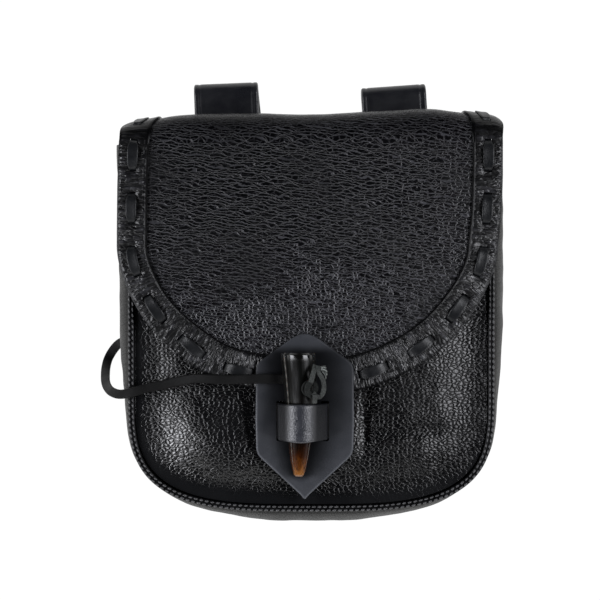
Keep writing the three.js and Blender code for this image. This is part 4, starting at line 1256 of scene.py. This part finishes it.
# It is carved in long flat facets, with soft ridges between them and one sharp one
turn = np.linspace(0, 2 * np.pi, 120, endpoint=False)
facets = np.zeros_like(turn)
for direction in TOGGLE_FACETS:
    facets += np.maximum(np.cos(turn - np.radians(direction)), 0.01) ** RIDGE_SHARPNESS
facets = facets ** (-1 / RIDGE_SHARPNESS)
facets /= facets.mean()
facets += 0.035 * np.exp(-(((turn - np.radians(TOGGLE_RIDGE)) / 0.05) ** 2))
section = np.stack([np.cos(turn) * facets, np.sin(turn) * facets], axis=1)
path = np.column_stack([middle_x, y, middle_z])
across = np.tile([1.0, 0.0, 0.0], (len(y), 1))
up = np.tile([0.0, 0.0, 1.0], (len(y), 1))
corners, faces = sweep(path, across, up, section, half)


def horn_material():
    """Polished horn: near black, then brown and amber towards its tip, with fine streaks."""
    nodes = Nodes("polished_horn")
    place = nodes.add("TexCoord", output=3)
    along = nodes.add("SeparateXYZ", {0: place}, 1)
    streaks = nodes.add("Mapping", {"Vector": place, "Scale": (1, 0.06, 1)})
    fine = nodes.noise(streaks, 1500.0, 3.0)
    broad = nodes.noise(streaks, 420.0, 2.0)
    to_tip = nodes.remap(along, -0.052, -0.076, kind="LINEAR")
    to_tip = nodes.math("MULTIPLY_ADD", nodes.math("SUBTRACT", broad, 0.5), 0.35, to_tip)
    colours = nodes.tree.nodes.new("ShaderNodeValToRGB")
    nodes.set(colours.inputs[0], to_tip)
    stops = [
        (0.0, (0.0034, 0.0036, 0.0033, 1)),
        (0.42, (0.008, 0.0038, 0.0022, 1)),
        (0.64, (0.030, 0.008, 0.0020, 1)),
        (0.83, (0.10, 0.030, 0.0050, 1)),
        (1.0, (0.30, 0.115, 0.022, 1)),
    ]
    while len(colours.color_ramp.elements) < len(stops):
        colours.color_ramp.elements.new(0.5)
    for element, (position, colour) in zip(colours.color_ramp.elements, stops):
        element.position = position
        element.color = colour
    darker = nodes.remap(fine, 0.45, 0.7, 1.0, 0.55)
    colour = nodes.add("VectorMath", {0: colours.outputs[0], 3: darker}, operation="SCALE")
    # Pale where the stored value says: painted highlights on its ridges and the rim of its tip
    colour = nodes.mix(nodes.stored("wear_and_painted_highlight"), colour, (0.19, 0.18, 0.165, 1))
    # Handling has roughened its middle; both ends are still smooth
    dull = nodes.remap(along, -0.0235, -0.0262)
    dull = nodes.math("MULTIPLY", dull, nodes.remap(along, -0.038, -0.048, 1.0, 0.75))
    dull = nodes.math("MULTIPLY", dull, nodes.remap(along, -0.050, -0.058, 1.0, 0.0))
    dull = nodes.math("MULTIPLY", dull, nodes.remap(broad, 0.25, 0.6, 0.7, 1.0))
    matt = nodes.remap(dull, 0.0, 1.0, 0.10, 0.38, "LINEAR")
    shine = nodes.remap(dull, 0.0, 1.0, 0.6, 0.06, "LINEAR")
    # Towards its tip it shines less
    shine = nodes.math("MULTIPLY", shine, nodes.remap(along, -0.044, -0.050, 1.0, 0.22))
    nodes.shade(subsurface_weight=0.08, subsurface_radius=(1.0, 0.45, 0.2), subsurface_scale=0.002)
    return nodes.shade(
        base_color=colour, roughness=matt, specular_ior_level=shine, normal=nodes.bump(fine, 0.000012))


# The ridges at its sides and the rim of its tip are painted pale, as painted highlights
left_ridge = np.exp(-(((turn - np.radians(164)) / 0.07) ** 2))
right_ridge = np.exp(-(((turn - np.radians(23)) / 0.07) ** 2))
wear_and_painted_highlight = np.maximum(
    np.outer(0.5 + 0.2 * np.sin(y * 1.7), left_ridge), np.outer(0.6 * ease(-y, 50, 56), right_ridge))
wear_and_painted_highlight = np.maximum(wear_and_painted_highlight, 0.5 * ease(-y, 75.4, 76.2)[:, None])
toggle = make_piece("toggle_horn", corners, faces, horn_material(), {"wear_and_painted_highlight": wear_and_painted_highlight.ravel()}, sharp=50)
slant = np.radians(THONG_HOLE["slant"])
through = np.array([np.cos(slant), 0, np.sin(slant)])
square_to_it = np.array([-np.sin(slant), 0, np.cos(slant)])
middle = np.array([THONG_HOLE[c] for c in "xyz"])
hole = circle(THONG_HOLE["radius"], 30)
start, end = middle - 15 * through, middle + 15 * through
cut_away(toggle, [straight_tool(start, end, (0, 1, 0), square_to_it, hole)], sharp=50)
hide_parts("toggle")
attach(toggle, "root")

# ---------------------------------------------------------------- knots of the thong
# The thong is tied in front of the toggle in a flat half hitch with a short tail, and
# ends inside the gusset in a small stop knot.

# Each strand's width, how pale it is, and the points it goes through
KNOT_STRANDS = [
    (2.6, 0.45, [
        (0.5, -32.0, 73.8), (-0.5, -34.6, 74.4), (-1.7, -36.8, 74.2), (-1.6, -39.2, 73.6),
        (0.4, -40.8, 73.0)]),
    (2.6, 0.35, [
        (0.2, -34.6, 73.0), (-2.2, -35.6, 73.2), (-3.2, -37.4, 72.9), (-2.2, -39.4, 72.8),
        (0.2, -39.6, 72.8)]),
    (2.2, 0.30, [
        (-0.6, -33.8, 73.2), (1.4, -35.6, 73.0), (1.8, -37.8, 72.8), (0.6, -39.6, 72.8)]),
    (2.1, 1.0, [
        (1.5, -27.6, 72.2), (0.9, -30.0, 74.2), (0.3, -32.4, 75.0), (-0.4, -34.8, 75.2)]),
    (2.1, 1.0, [
        (1.6, -28.8, 73.2), (3.2, -31.0, 73.6), (4.7, -33.6, 73.2), (5.3, -36.6, 72.6),
        (4.9, -39.2, 72.2), (3.5, -41.0, 72.4), (1.8, -40.8, 73.0), (0.6, -39.2, 73.6)]),
    (2.0, 1.3, [(1.3, -40.0, 74.4), (1.4, -41.8, 73.8), (1.35, -43.6, 72.4)]),
    (2.0, 0.7, [
        (1.7, -28.4, 73.4), (3.4, -28.8, 73.4), (4.8, -29.4, 72.8), (5.6, -30.2, 72.2)]),
]
# The tail's end is frayed into thin fibres that spread to both sides
FIBRES = 9
FIBRE_WIDTH = 0.55
for fibre in range(FIBRES):
    spread = 2 * fibre / (FIBRES - 1) - 1
    layer = fibre % 3
    start = (4.2 - 0.5 * spread, -29.2 + 1.1 * spread, 73.4)
    bent = (5.6 - 0.3 * spread, -29.9 + 2.0 * spread, 73.2 + 0.5 * layer)
    end = (6.7 - 0.9 * abs(spread), -30.9 + 3.0 * spread, 71.6 + 0.9 * layer)
    KNOT_STRANDS.append((FIBRE_WIDTH, 1.0 + 2.2 * (fibre % 2), [start, bent, end]))
KNOT_FACES = (0.2, 0.0, 1.0)
corners, faces, pale = [], [], []
for width, how_pale, strand in KNOT_STRANDS:
    path = smooth_curve(strand, 60)
    tangents = unit(np.gradient(path, axis=0))
    across, up = frames_along(path, np.cross(KNOT_FACES, tangents))
    section = strip_section(width, min(1.1, width), edge=width * 0.22)
    part_corners, part_faces = sweep(path, across, up, section)
    faces += [tuple(int(i) + len(corners) for i in face) for face in part_faces]
    corners += part_corners.tolist()
    pale += [how_pale] * len(part_corners)
knot_leather = smooth_leather(
    "knot_leather", (0.016, 0.018, 0.017, 1), (0.060, 0.066, 0.062, 1),
    roughness=0.6, depth=0.00020, gloss=0.3, shaded=True)
knot = make_piece(
    "thong_knot_strands", corners, faces, knot_leather, {"shade": np.array(pale)}, sharp=60)
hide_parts("thong_knot")
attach(knot, "root")

# The stop knot is two turns round the thong's end
STOP_KNOT = dict(x=-77.4, y=-18.6, z=14.4, radius=1.9, width=2.2, thickness=1.5)
turn = np.linspace(0, 4 * np.pi, 90)
radius = STOP_KNOT["radius"] + 0.2 * np.cos(1.5 * turn)
path = np.column_stack([
    STOP_KNOT["x"] + 1.1 * np.sin(turn / 2),
    STOP_KNOT["y"] + radius * np.cos(turn),
    STOP_KNOT["z"] + radius * np.sin(turn)])
across, up = frames_along(path, np.tile([1.0, 0.0, 0.0], (len(path), 1)))
section = strip_section(STOP_KNOT["width"], STOP_KNOT["thickness"], edge=0.6)
corners, faces = sweep(path, across, up, section)
stop_knot = make_piece("thong_stop_knot_strands", corners, faces, thong_leather, sharp=60)
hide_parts("thong_stop_knot")
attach(stop_knot, "root")

# ---------------------------------------------------------------- belt loops
# Two wide straps of thick smooth leather. Each is folded double above the pouch, both its
# ends are sewn to the back, and the belt goes between its two layers.

STRAP_LEATHER = 2.4
BELT_GAP = 6
STRAP_FOOT = 16
STRAP_SEAM = 30  # y up to which the two layers lie together
STRAP_PARTED = 46  # y from which they are a belt's thickness apart
STRAP_TURNS_ABOUT = 84
STRAP_STITCHES = dict(low=18.5, high=28, from_edge=3)
BELT_LOOPS = [
    dict(name="belt_loop_left", middle=-38.9, width=29.5, top=100.5, lean=0.4, turn=0.041, rear=1.0),
    dict(name="belt_loop_right", middle=38, width=29.7, top=99.2, lean=1, turn=0.071, rear=0.2),
]
strap_leather = smooth_leather(
    "smooth_strap_leather", (0.0100, 0.0105, 0.0134, 1), (0.0145, 0.0151, 0.0178, 1),
    roughness=0.32, depth=0.00003, gloss=0.42)
inner = BACK_LIFT - CLEARANCE - STRAP_LEATHER / 2
rear = inner - BELT_GAP - STRAP_LEATHER
together = inner - STRAP_LEATHER - CLEARANCE
radius = (inner - rear) / 2
for belt_loop in BELT_LOOPS:
    # Up the back, over the top, down behind, and to the other layer at the seam
    path = [(y, inner) for y in np.linspace(STRAP_FOOT, belt_loop["top"] - 12, 24)]
    for angle in np.linspace(np.pi / 2, -np.pi / 2, 25):
        reach = belt_loop["top"] - STRAP_LEATHER / 2 - radius + radius * np.cos(angle)
        path.append((reach, (inner + rear) / 2 + radius * np.sin(angle)))
    path += [(y, rear) for y in np.linspace(belt_loop["top"] - 12, STRAP_PARTED, 14)]
    path += [(39.6, rear + 0.9), (34, together - 0.9)]
    path += [(y, together) for y in (STRAP_SEAM, 24, STRAP_FOOT)]
    line = []
    for y, z in path:
        shift = belt_loop["lean"] * (y - STRAP_FOOT) / (belt_loop["top"] - STRAP_FOOT)
        line.append((belt_loop["middle"] + shift, y, z))
    line = smooth_curve(line, 190)
    across, up = frames_along(line, np.tile([1.0, 0.0, 0.0], (len(line), 1)))
    section = strip_section(belt_loop["width"], STRAP_LEATHER, edge=0.9, crease=0.22)
    # The section's upper side, with its creases, faces out of the loop
    corners, faces = sweep(line, across, up, section[::-1] * (1, -1))
    # Above the pouch it is turned a little, and its rear layer has slipped to one side
    x, y, z = corners.T.copy()
    turn = belt_loop["turn"] * ease(y, 66, STRAP_TURNS_ABOUT)
    slipped = belt_loop["rear"] * ease(together - z, 0, 5) * ease(-y, -100, -80)
    corners[:, 0] += slipped - turn * (y - STRAP_TURNS_ABOUT)
    corners[:, 1] += turn * (x - belt_loop["middle"])
    strap = make_piece(belt_loop["name"] + "_strap", corners, faces, strap_leather, sharp=60)
    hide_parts(belt_loop["name"])
    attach(strap, "root")
    # A box of stitches through both layers and the back
    w = belt_loop["width"] / 2 - STRAP_STITCHES["from_edge"]
    low, high = STRAP_STITCHES["low"], STRAP_STITCHES["high"]
    box = evenly(np.array([(-w, low), (w, low), (w, high), (-w, high), (-w, low)]), 120)[0]
    under = np.full(len(box), together - STRAP_LEATHER / 2 - 0.04)
    box = np.column_stack([box[:, 0] + belt_loop["middle"], box[:, 1], under])
    facing = np.tile([0.0, 0.0, -1.0], (len(box), 1))
    sew(belt_loop["name"] + "_stitches", [box], [facing], pitch=3.6, length=2.8, width=0.9, height=0.6)

# ---------------------------------------------------------------- floor and light
# The pouch lies on a plain white floor, between two long soft lights, under a sky that is
# bright low down and dark overhead.

floor_mesh = bpy.data.meshes.new("floor")
floor_mesh.from_pydata([(-2, -2, 0), (2, -2, 0), (2, 2, 0), (-2, 2, 0)], [], [(0, 1, 2, 3)])
floor = bpy.data.objects.new("floor", floor_mesh)
bpy.context.scene.collection.objects.link(floor)
floor_nodes = Nodes("pale_floor")
floor_nodes.shade(
    base_color=(0.05, 0.05, 0.05, 1), roughness=0.9, specular_ior_level=0.0,
    emission_color=(1, 1, 1, 1), emission_strength=1.0)
floor_mesh.materials.append(floor_nodes.material)


def soft_light(name, place, width, length, strength):
    """A long soft light beside the pouch that faces it."""
    lamp = bpy.data.lights.new(name, "AREA")
    lamp.shape = "RECTANGLE"
    lamp.size, lamp.size_y = length, width
    lamp.energy = strength
    lamp.color = (0.94, 0.95, 1)
    light = bpy.data.objects.new(name, lamp)
    light.location = place
    light.rotation_euler = (-Vector(place)).to_track_quat("-Z", "Y").to_euler()
    bpy.context.scene.collection.objects.link(light)


soft_light("left_soft_light", (-0.95, -0.10, 0.78), 0.34, 1.1, 11.5)
soft_light("right_soft_light", (0.80, 0.05, 0.94), 0.34, 1.1, 10)
world = bpy.data.worlds.new("pale_room")
world.use_nodes = True
sky = world.node_tree
direction = sky.nodes.new("ShaderNodeTexCoord")
height = sky.nodes.new("ShaderNodeVectorMath")
height.operation = "DOT_PRODUCT"
height.inputs[1].default_value = (0, 0.2, 1)
fade = sky.nodes.new("ShaderNodeMapRange")
fade.interpolation_type = "SMOOTHSTEP"
for socket, value in zip(fade.inputs[1:5], (0.10, 0.50, 1.2, 0.01)):
    socket.default_value = value
background = sky.nodes["Background"]
background.inputs["Color"].default_value = (1, 1, 1, 1)
sky.links.new(direction.outputs["Generated"], height.inputs[0])
sky.links.new(height.outputs["Value"], fade.inputs["Value"])
sky.links.new(fade.outputs[0], background.inputs["Strength"])
bpy.context.scene.world = world
bpy.context.scene.view_settings.view_transform = "Standard"
